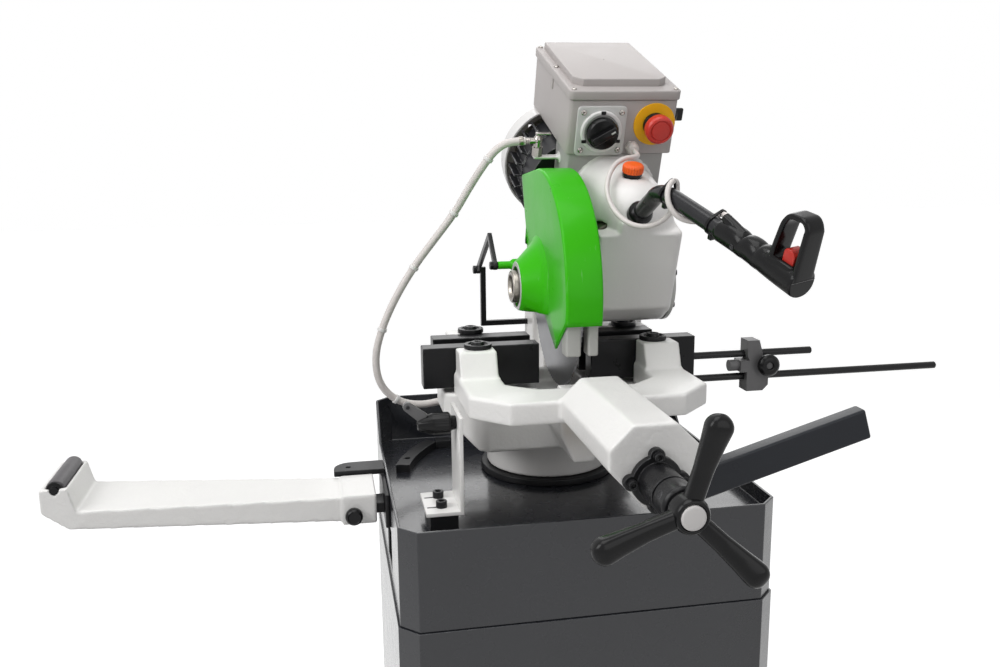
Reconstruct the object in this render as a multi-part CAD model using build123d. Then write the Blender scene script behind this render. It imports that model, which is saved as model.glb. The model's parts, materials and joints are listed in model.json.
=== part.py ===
from build123d import *
import os
from math import cos, pi, radians, sin, tan

# Frame: origin on the floor under the turntable axis, X right, Y back, Z up, millimetres.

# Clearances
RUN = 0.05
GAP = 0.4
LIFT = 0.3

# Stand
STAND_HALF_X = 240.0
STAND_FRONT = -262.0
STAND_BACK = 168.0
STAND_CHAMFER = 22.0
SHEET = 4.0
LEDGE = 2.5
LIP = 24.0
SEAM_Z = 692.0
TRAY_Z = 800.0
RIM_Z = 820.0
SPLASH_Z = 872.0
WING_START_Y = 88.0
DRAIN_R = 15.0
DRAIN_X = 170.0
DRAIN_Y = 110.0
SHELF_Z = 104.0
SERVICE_HALF_X = 150.0
SERVICE_Z = (130.0, 600.0)
HATCH_Y = (-130.0, -60.0)
HATCH_Z = (710.0, 768.0)
ANCHOR_R = 7.0
ANCHOR_X = 200.0
ANCHOR_Y = 170.0
ANCHOR_CENTRE_Y = (STAND_FRONT + STAND_BACK) / 2

# Coolant supply in the cabinet
TANK_HALF_X = 150.0
TANK_Y = (-130.0, 90.0)
TANK_HEIGHT = 200.0
TANK_WALL = 3.0
PUMP_R = 45.0
PUMP_HEIGHT = 120.0
PUMP_STEM_R = 25.0
PUMP_STEM = 160.0
PUMP_PLATE = 6.0

# Turntable and centre column
COLUMN_R = 45.0
COLUMN_FLANGE_R = 97.0
COLUMN_FLANGE = 10.0
TABLE_R = 88.0
TABLE_HEIGHT = 55.4
BASE_Z = 870.0
SPIGOT = 4.0
PEDESTAL_X = (10.0, 130.0)
PEDESTAL_Y = (62.0, 125.0)
YOKE_X = (0.0, 175.0)
YOKE_Z = (950.0, 990.0)
EAR = 25.0
HINGE_Y = 123.0
HINGE_Z = 1035.0
HINGE_R = 30.0
PIN_R = 15.0

# Vise
BED_Z = 944.0
BASE_HALF_X = 163.0
BASE_FRONT = -140.0
BASE_BACK = 18.0
BASE_NOSE_HALF_X = 110.0
BASE_TAIL_HALF_X = 130.0
BASE_CUT = 40.0
BASE_SIDE = 32.0
BASE_UNDERCUT = 42.0
TONGUE_HALF_X = 31.0
TONGUE_FRONT = -203.0
TONGUE_SIDE = 38.0
TONGUE_DRAW = 18.0
TONGUE_ROOT = 20.0
POCKET_HALF_X = 36.0
POCKET_Y = (-125.0, 5.0)
POCKET_Z = 925.0
SCREW_Z = 940.0
SCREW_R = 10.0
SCREW_BACK = -150.0
SCREW_ROOM = 1.0
NUT_R = 17.0
NUT_Y = (-250.0, -155.0)
NUT_LUG_HALF_X = 24.0
NUT_LUG_TOP = 961.0
JAW_BOTTOM = 951.0
JAW_TOP = 1005.0
FRONT_JAW_Y = (-104.0, -77.0)
REAR_JAW_Y = (-47.0, -17.0)
FRONT_JAWS_X = ((-190.0, -35.0), (36.0, 183.0))
REAR_JAWS_X = ((-170.0, -35.0), (35.0, 142.0))
JAW_LUG_X = 165.0
JAW_LUG_Z = 930.0
POST_X = (95.0, 145.0)
POST_BACK = 15.0
CLAMP_R = 18.0
CLAMP_THICK = 6.0
CLAMP_BOLT_R = 6.0
CLAMP_BOLT = 30.0
CLAMP_DOME_R = 8.0
FRONT_CLAMP_X = 119.0
REAR_CLAMP_X = 112.0
CLAMP_SETBACK = 9.0
ARM_TOP = 972.0
ARM_HALF_X = 150.0
ARM_INNER_X = 95.0
SHOULDER_X = 107.0
SHOULDER = 8.0
ELBOW = 34.0
CROTCH = 82.0
CROTCH_HALF_X = 60.0
CROTCH_FLAT = 52.0
JAW_BOSS_FOOT = 46.0
JAW_BOSS_HEAD = 33.0
JAW_BOSS_MARGIN = 3.0
SNOUT_FRONT = -458.0
SNOUT_BACK = -262.0
SNOUT_TOP = 997.0
SNOUT_TOP_HALF = 22.0
SNOUT_HALF_X = 47.5
SNOUT_SIDE_Z = (951.0, 972.0)
SNOUT_BOTTOM = 908.0
SNOUT_BOTTOM_HALF = 8.0
SNOUT_WALL = 33.0
SNOUT_FLOOR = 13.0
CHANNEL_HALF_X = 27.0
CHANNEL_TOP = 963.0
FLANGE = 8.0
FLANGE_LOBE = 26.0
SLEEVE_R = 20.0
SLEEVE_FRONT = -505.0
COLLAR_R = 20.0
COLLAR_FRONT = -535.0
SET_SCREW_R = 2.5
HUB_R = 17.5
HUB_FRONT = -560.0
WHEEL_ARM = 85.0
WHEEL_SWEEP = 14.0
WHEEL_TIP_R = 12.5
WHEEL_ROOT_HALF = 9.0
WHEEL_ARM_THICK = 16.0
WHEEL_TURN = 76.0
CAP_R = 12.2
CAP_DEPTH = 4.0
CAP_RISE = 1.0

# Bracket, mitre stops and levers on the tray
BRACKET_Y = (-216.0, -142.0)
BRACKET_X = (-202.0, -160.0)
BRACKET_PLATE = 5.0
BRACKET_BLOCK = 19.0
BRACKET_BLOCK_TOP = TRAY_Z + BRACKET_BLOCK
FOOT_LIP = 5.0
FOOT_SET = 2.0
FOOT_END = 4.0
FOOT_SCREW = 20.0
BRACKET_CROWN = 12.0
BRACE_Y = -190.0
BRACE_RISE = 111.0
BRACE_Z = BRACKET_BLOCK_TOP + BRACE_RISE
BRACE_HUB_R = (14.0, 10.0)
BRACE_ELBOW = 6.0
BRACE_ARM = (-14.0, 8.0, 24.0)
BRACE_ARM_R = (9.0, 6.0)
BRACE_BALL_R = 8.0
BRACE_STUD_R = 5.0
BRACE_END_X = -215.0
STOP_HEIGHT = 12.0
STOP_TOP = TRAY_Z + STOP_HEIGHT
STOP_AT = (-140.0, 114.0)
STOP_HALF = (11.0, 10.0)
ARC_CENTRE = (63.6, -67.4)
ARC_R = (275.0, 295.0)
ARC_FROM = 141.0
ARC_TO = 165.0
ARC_HOLE_R = 4.5
ARC_HOLE_TURN = 6.0
SCREW_HEAD_R = 7.0
SCREW_HEAD = 7.0
LEVER_X = 42.0
LEVER_Y = -400.0
LEVER_Z = 902.0
LEVER_RISE = 16.3
LEVER_LENGTH = 226.0
LEVER_TALL = 34.0
LEVER_THICK = 20.0
LEVER_SHAFT_R = 8.0
LEVER_SHAFT_BACK = -105.0

# Side support arm
FLANGE_PLATE = 6.0
FLANGE_MARGIN = 16.0
FLANGE_DROP = 30.0
HITCH_REACH = 70.0
HITCH_Y = (-38.0, 0.0)
HITCH_HALF = 4.0
HITCH_CORNER = 24.0
HITCH_HOLE = (50.0, -22.0)
HITCH_HOLE_R = 3.0
STUB_X = -345.0
STUB_Y = (-105.0, -69.0)
STUB_DEPTH = 14.0
STUB_Z = (TRAY_Z - STUB_DEPTH, TRAY_Z)
STUB_ROOM = 3.0
SOCKET_WALL = 7.0
SOCKET_CROWN = 19.0
SOCKET_Z = (STUB_Z[0] - SOCKET_WALL, STUB_Z[1] + SOCKET_CROWN)
SOCKET_Y = (-121.0, -41.0)
ARM_ROOT_X = -257.0
ARM_BLOCK_X = -302.0
ARM_END_X = -663.0
ARM_NECK_X = -622.0
ARM_CHIN_X = -632.0
ARM_ROOT_INSET = 3.0
ARM_ROOT_STEP = (2.0, 4.0)
ARM_NECK_RISE = 30.0
ARM_CHIN_RISE = 7.0
CRADLE_LIP = 2.0
CRADLE_SLOPE = 15.0
ROLLER_X = -645.0
ROLLER_RISE = 58.0
ROLLER_Z = TRAY_Z + ROLLER_RISE
ROLLER_R = 11.0
ROLLER_ROOM = 1.0
CRADLE_Y = (-133.0, -22.0)
CRADLE_WALL = 7.0
AXLE_R = 5.0
KNOB_X = -287.0
KNOB_R = 10.0
KNOB = 14.0
KNOB_STEM_R = 4.0

# Length stop
ROD_R = 5.0
ROD_Y = -91.0
UPPER_ROD_Z = 973.5
LOWER_ROD_Z = 941.0
UPPER_ROD_END = 362.0
LOWER_ROD_END = 560.0
BLOCK_X = (261.0, 293.0)
BLOCK_Y = (-104.0, -80.0)
BLOCK_Z = (922.0, 994.0)
BLOCK_CROWN = 17.0
BLOCK_CHEEK = 23.0
BLOCK_WAIST = (9.0, 17.0)
BLOCK_FOOT = 8.0
BLOCK_BAR = 9.0
BLOCK_BAR_HALF = 8.0
ROD_WALL = 7.0
STOP_KNOB_X = 288.0
STOP_KNOB_Z = 960.0
STOP_KNOB_R = 15.5
STOP_KNOB = 16.0
STOP_STEM = 8.0
STOP_BUTTON = 13.0
STOP_BUTTON_R = 8.0

# Blade, hood and guard linkage; the blade centre is the head's own origin
BLADE_Y = -57.0
BLADE_Z = 1075.0
BLADE_R = 137.5
BLADE_HALF = 1.25
BLADE_TEETH = 110
TOOTH_DEPTH = 2.6
ARBOR_R = 16.0
FLANGE_R = 42.0
FLANGE_X = 12.0
NOSE_R = 22.0
NOSE_X = -64.0
NOSE_BORE_R = 15.0
NOSE_FLOOR = 4.0
SPINDLE_R = 20.0
SPINDLE_END = 120.0
HOOD_X = (-27.0, 20.0)
HOOD_R = 157.0
HOOD_WALL = 3.0
HOOD_LOW = (-151.0, -28.0)
HOOD_CORNER = (98.0, 146.0)
HOOD_WAIST = (64.0, 56.0)
HOOD_TIP = (-101.0, -66.0)
HOOD_NOTCH = 62.0
DEFLECTOR_Y = (-146.0, -122.0)
DEFLECTOR_Z = (-68.0, -6.0)
DEFLECTOR_SLOT = (-5.0, 4.0)
CONE_BASE_R = 62.0
CONE_END_R = 35.0
CONE_END_X = -56.0
CONE_FLOOR = -30.0
LUG_R = 8.0
LINK_X = (-80.0, -74.0)
LINK_WIDTH = 9.0
LUG_AT = (-15.0, 1099.0)
APEX_AT = (27.0, 1136.0)
ANCHOR_AT = (133.0, 1074.0)
LINK_PIN_R = 3.2
LINK_EYE_R = 6.3
LINK_BOLT = 4.0
BAR = 8.0
BAR_FLOOR_Z = 986.0

# Head, in its own tilted axes: x right, u back along the motor, w up
HEAD_TILT = 20.0
CASE_X = (33.0, 147.0)
CASE_FRONT = -62.0
CASE_SHOULDER = 102.0
CASE_FLOOR = -40.0
CASE_FLOOR_HALF = 20.0
CASE_CHIN = (14.0, -24.0)
CASE_LIP = -7.0
CASE_FILLET = 12.0
CASE_ARM_ROOT = 5.0
CASE_ARM_DROP = -30.0
CASE_ARM_LOW = (24.0, 18.0)
CASE_ARM_HIGH = (28.0, 10.0)
SOCKET_BLOCK = (-30.0, 2.0)
DOME_X = 90.0
DOME_U = -5.0
DOME_W = 97.0
DOME_R = 57.0
NECK_X = (22.0, 156.0)
NECK_U = (82.0, 150.0)
NECK_TOP = 156.0
BOSS_R = 48.0
BOSS_X = 12.4
BULGE_R = 53.0
WHEEL_CAVITY_R = 49.0
WHEEL_R = 47.0
WHEEL_X = (46.0, 72.0)
BEARING_R = 31.0
BEARING_WIDTH = 18.0
LEFT_BEARING_X = 20.0
RIGHT_BEARING_X = 100.0
CASE_INNER_X = 41.0
COVER_R = 53.0
COVER_THICK = 5.0
MOTOR_X = 59.0
MOTOR_W = 78.0
WORM_R = 30.5
WORM_BORE_R = 33.0
WORM_U = (-38.0, 38.0)
WORM_ROOM = 2.0
SHAFT_R = 12.0
SHAFT_FRONT = -54.0
SHAFT_BACK = 286.0
BELL_R = 72.0
BELL_BACK = 200.0
FIN_CORE_R = 74.0
FIN_R = 84.0
FINS = 28
FIN_THICK = 3.0
FIN_BACK = 250.0
FIN_ROOT = 2.0
MOTOR_PLATE = 6.0
ROTOR_SPACE = 16.0
STATOR_R = 58.0
ROTOR_R = 55.0
FAN_R = 70.0
FAN_U = (8.0, 24.0)
COWL_R = 89.0
COWL_BACK = 300.0
COWL_WALL = 2.5
COWL_FILLET = 22.0
COWL_SLOTS = 7
COWL_SLOT_PITCH = 14.0
COWL_SLOT_HALF_X = 45.0
COWL_SLOT_HALF = 3.0
MOTOR_FLAT = 155.5
SPRING_MIDDLE_X = 90.0
SPRING_WIRE_R = 2.5
SPRING_CLEAR = 2.0
SPRING_TURNS = 6
SPRING_PITCH = 7.0
SPRING_END_GAP = 0.5
SPRING_AIR = 11.0
SPRING_R = PIN_R + SPRING_CLEAR + SPRING_WIRE_R
SPRING_ROOM_R = SPRING_R + SPRING_WIRE_R + SPRING_AIR
SPRING_ROOM_HALF = SPRING_TURNS * SPRING_PITCH / 2 + SPRING_WIRE_R + SPRING_END_GAP

# Electrical box
BOX_X = (18.0, 167.0)
BOX_U = (80.0, 295.0)
BOX_W = (156.0, 231.0)
BOX_WALL = 3.0
LID_OVER = 2.5
LID_TOP = 244.0
PANEL_X = (26.0, 156.0)
PANEL_TOP = 254.0
PANEL_CHAMFER = 12.0
PANEL_FRONT = 18.0
PANEL_BACK = 12.0
SWITCH_X = 62.0
SWITCH_W = 190.0
SWITCH_HALF = 34.0
SWITCH_PLATE = 5.0
SWITCH_RING_R = 27.0
SWITCH_KNOB_R = 22.0
SWITCH_CORNER = 6.0
SWITCH_RING = 4.0
SWITCH_KNOB = 12.0
SWITCH_BAR = 8.0
SWITCH_BAR_HALF_X = 18.7
SWITCH_BAR_HALF = 5.0
SWITCH_TURN = 30.0
STEM_R = 4.0
ESTOP_X = 137.0
ESTOP_W = 198.0
ESTOP_DISC_R = 29.0
ESTOP_R = 19.0
ESTOP_COLLAR_R = 14.0
ESTOP_STEM_R = 8.0
ESTOP_TRAVEL = 5.0
ESTOP_PLATE = 2.0
ESTOP_COLLAR = 8.0
ESTOP_HEAD = 15.0
ESTOP_FILLET = 4.0
SELECTOR_U = 105.0
SELECTOR_W = 203.0
SELECTOR_R = 9.0
SELECTOR_BASE = 8.0
SELECTOR_WING = 10.0
SELECTOR_WING_HALF = (3.0, 8.0)
FILLER_X = 90.0
FILLER_U = 8.0
FILLER_R = 13.5
FILLER_NECK_R = 10.0
FILLER_HEIGHT = 16.0
FILLER_NECK = 8.0
VALVE_X = -10.0
VALVE_U = 129.0
VALVE_SEAT = 137.0
VALVE_HALF = 7.0
VALVE_TOP = 166.0
VALVE_FOOT = 13.0
VALVE_EAR = 5.0
VALVE_PIN = 4.0
VALVE_PIN_R = 3.0
VALVE_LEVER = (-5.0, 24.0)
VALVE_LEVER_HALF = 5.0
VALVE_LEVER_THICK = 4.0
NIPPLE_W = 158.0
NIPPLE_CLEAR = 1.5
NIPPLE_X = HOOD_X[0] - NIPPLE_CLEAR
NIPPLE_R = 4.5

# Handle, turned outward at its bend
HANDLE_X = 84.0
TUBE_R = 10.5
TUBE_BEND_R = 30.0
SOCKET_AT = (HANDLE_X, -46.0, 119.0)
BEND_AT = (HANDLE_X, -114.0, 185.0)
GRIP_AT = (121.4, -224.8, 180.7)
GRIP_END = (159.4, -337.5, 176.3)
GRIP_R = 16.5
GRIP_SLEEVE = 8.0
GRIP_SLEEVE_WALL = 2.0
GRIP_TAPER = 70.0
GRIP_FILLET = 6.0
CABLE_ENTRY = 28.0
CABLE_ENTRY_SINK = 6.0
CABLE_ENTRY_WALL = 1.5
STRAP_HALF_X = 11.0
TRIGGER_S = (92.0, 108.0)
TRIGGER_HALF_X = 8.0
TRIGGER_H = (11.0, 31.0)
TRIGGER_TRAVEL = 4.0
CABLE_R = 3.3
GLAND_R = 9.0
GLAND_AT = (109.0, 166.0)
GLAND_FRONT = 66.0
CABLE_LIFT = 17.0

# Coolant hose between the turntable and the valve
HOSE_R = 5.5
HOSE_LEAD = 22.0
FITTING = 22.0
FITTING_R = 9.0

HEAD = Plane(
    origin=(0, BLADE_Y, BLADE_Z),
    x_dir=(1, 0, 0),
    z_dir=(0, -sin(radians(HEAD_TILT)), cos(radians(HEAD_TILT))),
)
AXES = {"X": (1, 0, 0), "Y": (0, 1, 0), "Z": (0, 0, 1)}
UPWARD = (Align.CENTER, Align.CENTER, Align.MIN)

LOOP_OUTER = [(74, 8), (82, 58), (89, 68), (111, 71), (120, 62), (120, 4)]
LOOP_INNER = [(88, 55), (92, 61), (109, 63), (113, 58)]
LOOP_INNER_START = 82.0
LOOP_ROOT = [(4, -8), (20, 0)]
CABLE_START = [
    (GLAND_AT[0], 53.0, GLAND_AT[1]),
    (106, 40, 168),
    (97, 31, 170),
    (82, 25.5, 171),
    (65, 13, 167),
    (51, -9, 157),
    (45, -32, 146),
    (47, -55, 136),
    (56, -76, 129),
    (71, -92, 127),
    (88, -101, 133),
    (102, -106, 147),
    (108, -109, 166),
]
CABLE_WRAP = [
    (78, 3, 25.5),
    (50, 7, 27),
    (18, 12, 27.5),
    (-17, 18, 27),
    (-56, 26, 25.5),
    (-100, 36, 23.5),
    (-147, 48, 22.5),
    (-194, 60, 22),
    (-239, 72, 22),
    (-282, 84, 21.5),
    (-321, 97, 20),
    (-350, 116, CABLE_LIFT),
]
HOSE_POINTS = [
    (-70, 15, 1256),
    (-87, 25, 1232),
    (-105, 36, 1202),
    (-124, 45, 1168),
    (-153, 54, 1130),
    (-183, 60, 1091),
    (-211, 66, 1045),
    (-232, 70, 999),
    (-243, 72, 957),
    (-238, 74, 916),
    (-213, 77, 888),
    (-178, 80, 878),
    (-139, 84, 883),
    (-98, 90, 890),
]


def box(x, y, z):
    """Block between a low and a high value on each axis."""
    centre = [(pair[0] + pair[1]) / 2 for pair in (x, y, z)]
    size = [pair[1] - pair[0] for pair in (x, y, z)]
    return Pos(*centre) * Box(*size)


def rod(start, end, radius):
    """Round bar between two points."""
    axis = Vector(*end) - Vector(*start)
    return Plane(origin=start, z_dir=axis) * Cylinder(radius, axis.length, align=UPWARD)


def cone(start, end, start_radius, end_radius):
    """Tapered round bar between two points."""
    axis = Vector(*end) - Vector(*start)
    shape = Cone(start_radius, end_radius, axis.length, align=UPWARD)
    return Plane(origin=start, z_dir=axis) * shape


def tube(start, end, outer, inner):
    """Round bar with a round bore."""
    return rod(start, end, outer) - rod(start, end, inner)


def spot(along, offset, point):
    """Point of an outline that lies square to an axis."""
    first, second = point
    places = {
        "X": (offset, first, second),
        "Y": (first, offset, second),
        "Z": (first, second, offset),
    }
    return places[along]


def prism(along, span, points):
    """Straight block on an outline, along one axis."""
    outline = Polyline(*[spot(along, span[0], point) for point in points], close=True)
    return extrude(make_face(outline), amount=span[1] - span[0], dir=AXES[along])


def flat_bar(x, start, end, width):
    """Flat bar with round ends, lying square to X between two (y, z) points."""
    run = Vector(0, *end) - Vector(0, *start)
    side = Vector(1, 0, 0).cross(run.normalized()) * (width / 2)
    corners = [
        Vector(0, *start) + side,
        Vector(0, *end) + side,
        Vector(0, *end) - side,
        Vector(0, *start) - side,
    ]
    bar = prism("X", x, [(corner.Y, corner.Z) for corner in corners])
    for y, z in (start, end):
        bar += rod((x[0], y, z), (x[1], y, z), width / 2)
    return bar


def mirror_x(points):
    """Outline points followed by their mirror image in X."""
    return points + [(-x, other) for x, other in reversed(points)]


def cord_path(points):
    """Straight runs joined by arcs as large as the runs allow, with their radii."""
    spots = [Vector(*point) for point in points]
    runs = [after - before for before, after in zip(spots, spots[1:])]
    radii = []
    for before, after in zip(runs, runs[1:]):
        half_turn = radians(before.get_angle(after)) / 2
        radii.append(0.45 * min(before.length, after.length) / tan(half_turn))
    return FilletPolyline(*spots, radius=radii), radii


def cord(name, points, radius):
    """Round cord along a route, with its radii and volume printed."""
    path, radii = cord_path(points)
    run = Vector(*points[1]) - Vector(*points[0])
    solid = sweep(Plane(origin=points[0], z_dir=run) * Circle(radius), path=path)
    share = solid.volume / (pi * radius**2 * path.length)
    print(name, "radii", [round(value) for value in radii], "volume share", round(share, 4))
    return solid


def stand_outline(grow):
    """Plan of the stand with cut corners, grown outward by a given amount."""
    x = STAND_HALF_X + grow
    front = STAND_FRONT - grow
    back = STAND_BACK + grow
    cut = STAND_CHAMFER + grow * (2 - 2**0.5)
    return [
        (-x, front + cut),
        (cut - x, front),
        (x - cut, front),
        (x, front + cut),
        (x, back - cut),
        (x - cut, back),
        (cut - x, back),
        (-x, back - cut),
    ]


def stand_cabinet():
    """Lower stage: sheet box with a floor plate, a shelf, a top lip and a service opening."""
    body = prism("Z", (0, SEAM_Z), stand_outline(LEDGE))
    body -= prism("Z", (SHEET, SEAM_Z - SHEET), stand_outline(LEDGE - SHEET))
    body -= prism("Z", (SEAM_Z - SHEET, SEAM_Z), stand_outline(-LIP))
    body += prism("Z", (SHELF_Z - SHEET, SHELF_Z), stand_outline(LEDGE - SHEET))
    inside = STAND_BACK + LEDGE - SHEET
    body -= box((-SERVICE_HALF_X, SERVICE_HALF_X), (inside, inside + SHEET), SERVICE_Z)
    for x in (-ANCHOR_X, ANCHOR_X):
        for y in (ANCHOR_CENTRE_Y - ANCHOR_Y, ANCHOR_CENTRE_Y + ANCHOR_Y):
            body -= rod((x, y, 0), (x, y, SHEET), ANCHOR_R)
    return body


def chip_tray():
    """Upper stage: skirt, sunk floor, rim and a splash guard along the back."""
    walls = prism("Z", (SEAM_Z, SPLASH_Z), stand_outline(0))
    walls -= prism("Z", (SEAM_Z, SPLASH_Z), stand_outline(-SHEET))
    wing_top = STAND_BACK - STAND_CHAMFER
    above_rim = [
        (STAND_FRONT, RIM_Z),
        (WING_START_Y, RIM_Z),
        (wing_top, SPLASH_Z),
        (STAND_FRONT, SPLASH_Z),
    ]
    walls -= prism("X", (-STAND_HALF_X, STAND_HALF_X), above_rim)
    walls -= box((-STAND_HALF_X, SHEET - STAND_HALF_X), HATCH_Y, HATCH_Z)
    floor = prism("Z", (TRAY_Z - SHEET, TRAY_Z), stand_outline(-SHEET))
    floor -= rod((DRAIN_X, DRAIN_Y, TRAY_Z - SHEET), (DRAIN_X, DRAIN_Y, TRAY_Z), DRAIN_R)
    return walls + floor


def coolant_tank():
    """Open tank on the cabinet shelf."""
    top = SHELF_Z + TANK_HEIGHT
    shell = box((-TANK_HALF_X, TANK_HALF_X), TANK_Y, (SHELF_Z, top))
    inner_x = TANK_HALF_X - TANK_WALL
    inner_y = (TANK_Y[0] + TANK_WALL, TANK_Y[1] - TANK_WALL)
    return shell - box((-inner_x, inner_x), inner_y, (SHELF_Z + TANK_WALL, top))


def coolant_pump():
    """Immersion pump on a plate across the tank."""
    top = SHELF_Z + TANK_HEIGHT
    middle = (TANK_Y[0] + TANK_Y[1]) / 2
    plate_z = top + PUMP_PLATE
    body = box((-PUMP_R, PUMP_R), TANK_Y, (top, plate_z))
    body += rod((0, middle, plate_z), (0, middle, plate_z + PUMP_HEIGHT), PUMP_R)
    return body + rod((0, middle, top - PUMP_STEM), (0, middle, top), PUMP_STEM_R)


def centre_column():
    """Column that carries the vise and guides the turntable."""
    flange_top = TRAY_Z + COLUMN_FLANGE
    body = rod((0, 0, TRAY_Z), (0, 0, flange_top), COLUMN_FLANGE_R)
    return body + rod((0, 0, flange_top), (0, 0, BASE_Z - SPIGOT), COLUMN_R)


def turntable():
    """Ring around the column with a rear pedestal, yoke and two hinge ears."""
    low = TRAY_Z + COLUMN_FLANGE + LIFT
    top = low + TABLE_HEIGHT
    body = rod((0, 0, low), (0, 0, top), TABLE_R)
    body += box(PEDESTAL_X, (0, PEDESTAL_Y[1]), (low, top))
    body += box(PEDESTAL_X, PEDESTAL_Y, (low, YOKE_Z[1]))
    yoke_y = (HINGE_Y - HINGE_R, HINGE_Y + HINGE_R)
    body += box(YOKE_X, yoke_y, YOKE_Z)
    for x in (YOKE_X[0], YOKE_X[1] - EAR):
        body += box((x, x + EAR), yoke_y, (YOKE_Z[1], HINGE_Z))
        body += rod((x, HINGE_Y, HINGE_Z), (x + EAR, HINGE_Y, HINGE_Z), HINGE_R)
    body -= rod((0, 0, low), (0, 0, top), COLUMN_R + RUN)
    fitting = HOSE_POINTS[-1]
    seat = (PEDESTAL_X[0], fitting[1], fitting[2])
    body += rod((PEDESTAL_X[0] - FITTING, fitting[1], fitting[2]), seat, FITTING_R)
    return body - rod((YOKE_X[0], HINGE_Y, HINGE_Z), (YOKE_X[1], HINGE_Y, HINGE_Z), PIN_R)


def hinge_pin():
    """Pin through the ears and the head's two barrels."""
    return rod((YOKE_X[0], HINGE_Y, HINGE_Z), (YOKE_X[1], HINGE_Y, HINGE_Z), PIN_R)


def return_spring():
    """Coil spring around the pin, from the yoke up to the head."""
    start_x = SPRING_MIDDLE_X - SPRING_TURNS * SPRING_PITCH / 2
    front = HINGE_Y - SPRING_R
    back = HINGE_Y + SPRING_R
    foot = Vector(start_x, front, YOKE_Z[1])
    here = Vector(start_x, front, HINGE_Z)
    edges = [Line(foot, here)]
    for half in range(2 * SPRING_TURNS):
        rising = half % 2 == 0
        quarter = start_x + (half + 0.5) * SPRING_PITCH / 2
        side_z = HINGE_Z + SPRING_R if rising else HINGE_Z - SPRING_R
        there = Vector(start_x + (half + 1) * SPRING_PITCH / 2, back if rising else front, HINGE_Z)
        edges.append(ThreePointArc(here, (quarter, HINGE_Y, side_z), there))
        here = there
    reach = (SPRING_ROOM_R**2 - (SPRING_R + SPRING_WIRE_R) ** 2) ** 0.5 - GAP
    edges.append(Line(here, here + Vector(0, 0, reach)))
    print("spring gap", round(SPRING_PITCH - 2 * SPRING_WIRE_R, 2))
    profile = Plane(origin=foot, z_dir=(0, 0, 1)) * Circle(SPRING_WIRE_R)
    return sweep(profile, path=Wire([edge.edge() for edge in edges]))


def vise_base():
    """White casting on the column: bed, front tongue, jaw posts and a pocket under the blade."""
    half_plan = [
        (BASE_NOSE_HALF_X, BASE_FRONT),
        (BASE_HALF_X, BASE_FRONT + BASE_CUT),
        (BASE_HALF_X, BASE_BACK - BASE_CUT),
        (BASE_TAIL_HALF_X, BASE_BACK),
    ]
    foot = (BASE_HALF_X - BASE_UNDERCUT, BASE_Z)
    side = [(BASE_HALF_X, BED_Z), (BASE_HALF_X, BED_Z - BASE_SIDE), foot]
    body = prism("Z", (BASE_Z, BED_Z), mirror_x(half_plan))
    body &= prism("Y", (BASE_FRONT, BASE_BACK), mirror_x(side))
    keel = (TONGUE_HALF_X - TONGUE_DRAW, BASE_Z)
    tongue = [(TONGUE_HALF_X, BED_Z), (TONGUE_HALF_X, BASE_Z + TONGUE_SIDE), keel]
    body += prism("Y", (TONGUE_FRONT, BASE_FRONT + TONGUE_ROOT), mirror_x(tongue))
    lug_x = (-NUT_LUG_HALF_X, NUT_LUG_HALF_X)
    body += box(lug_x, (TONGUE_FRONT, NUT_Y[1]), (BED_Z, NUT_LUG_TOP))
    for low, high in (POST_X, (-POST_X[1], -POST_X[0])):
        body += box((low, high), (REAR_JAW_Y[1], POST_BACK), (BED_Z, JAW_TOP))
    body += rod((0, 0, BASE_Z - SPIGOT), (0, 0, BASE_Z), COLUMN_R)
    pocket_x = (-POCKET_HALF_X, POCKET_HALF_X)
    body -= box(pocket_x, POCKET_Y, (POCKET_Z, BED_Z))
    body -= rod((0, TONGUE_FRONT, SCREW_Z), (0, NUT_Y[1], SCREW_Z), NUT_R)
    body -= rod((0, NUT_Y[1], SCREW_Z), (0, POCKET_Y[0], SCREW_Z), SCREW_R + SCREW_ROOM)
    shaft = (LEVER_X, LEVER_SHAFT_BACK, LEVER_Z)
    body -= rod((LEVER_X, TONGUE_FRONT, LEVER_Z), shaft, LEVER_SHAFT_R + RUN)
    for x, y in rear_clamp_spots():
        body -= rod((x, y, JAW_TOP - CLAMP_BOLT), (x, y, JAW_TOP), CLAMP_BOLT_R)
    return body


def rear_clamp_spots():
    """Places of the rear jaw clamps."""
    return [(side * REAR_CLAMP_X, REAR_JAW_Y[1] + CLAMP_SETBACK) for side in (-1, 1)]


def front_clamp_spots():
    """Places of the front jaw clamps."""
    return [(side * FRONT_CLAMP_X, FRONT_JAW_Y[0] - CLAMP_SETBACK) for side in (-1, 1)]


def jaw_clamps(spots):
    """Round clamp discs with a domed bolt, each half on a jaw."""
    clamps = []
    for x, y in spots:
        top = JAW_TOP + CLAMP_THICK
        clamp = rod((x, y, JAW_TOP), (x, y, top), CLAMP_R)
        clamp += rod((x, y, JAW_TOP - CLAMP_BOLT), (x, y, JAW_TOP), CLAMP_BOLT_R)
        clamp += rod((x, y, top), (x, y, top + CLAMP_THICK / 2), CLAMP_DOME_R)
        clamps.append(clamp)
    return Compound(children=clamps)


def vise_nut():
    """Bronze sleeve nut in the tongue."""
    return tube((0, NUT_Y[0], SCREW_Z), (0, NUT_Y[1], SCREW_Z), NUT_R, SCREW_R + RUN)


def rear_jaws():
    """Pair of fixed jaws on the posts."""
    jaws = [box(x, REAR_JAW_Y, (JAW_BOTTOM, JAW_TOP)) for x in REAR_JAWS_X]
    return Compound(children=jaws)


def front_jaws():
    """Pair of moving jaws; the right one has a lug for the lower stop rod."""
    left = box(FRONT_JAWS_X[0], FRONT_JAW_Y, (JAW_BOTTOM, JAW_TOP))
    right = box(FRONT_JAWS_X[1], FRONT_JAW_Y, (JAW_BOTTOM, JAW_TOP))
    right += box((JAW_LUG_X, FRONT_JAWS_X[1][1]), FRONT_JAW_Y, (JAW_LUG_Z, JAW_BOTTOM))
    return Compound(children=[left, right])


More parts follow.
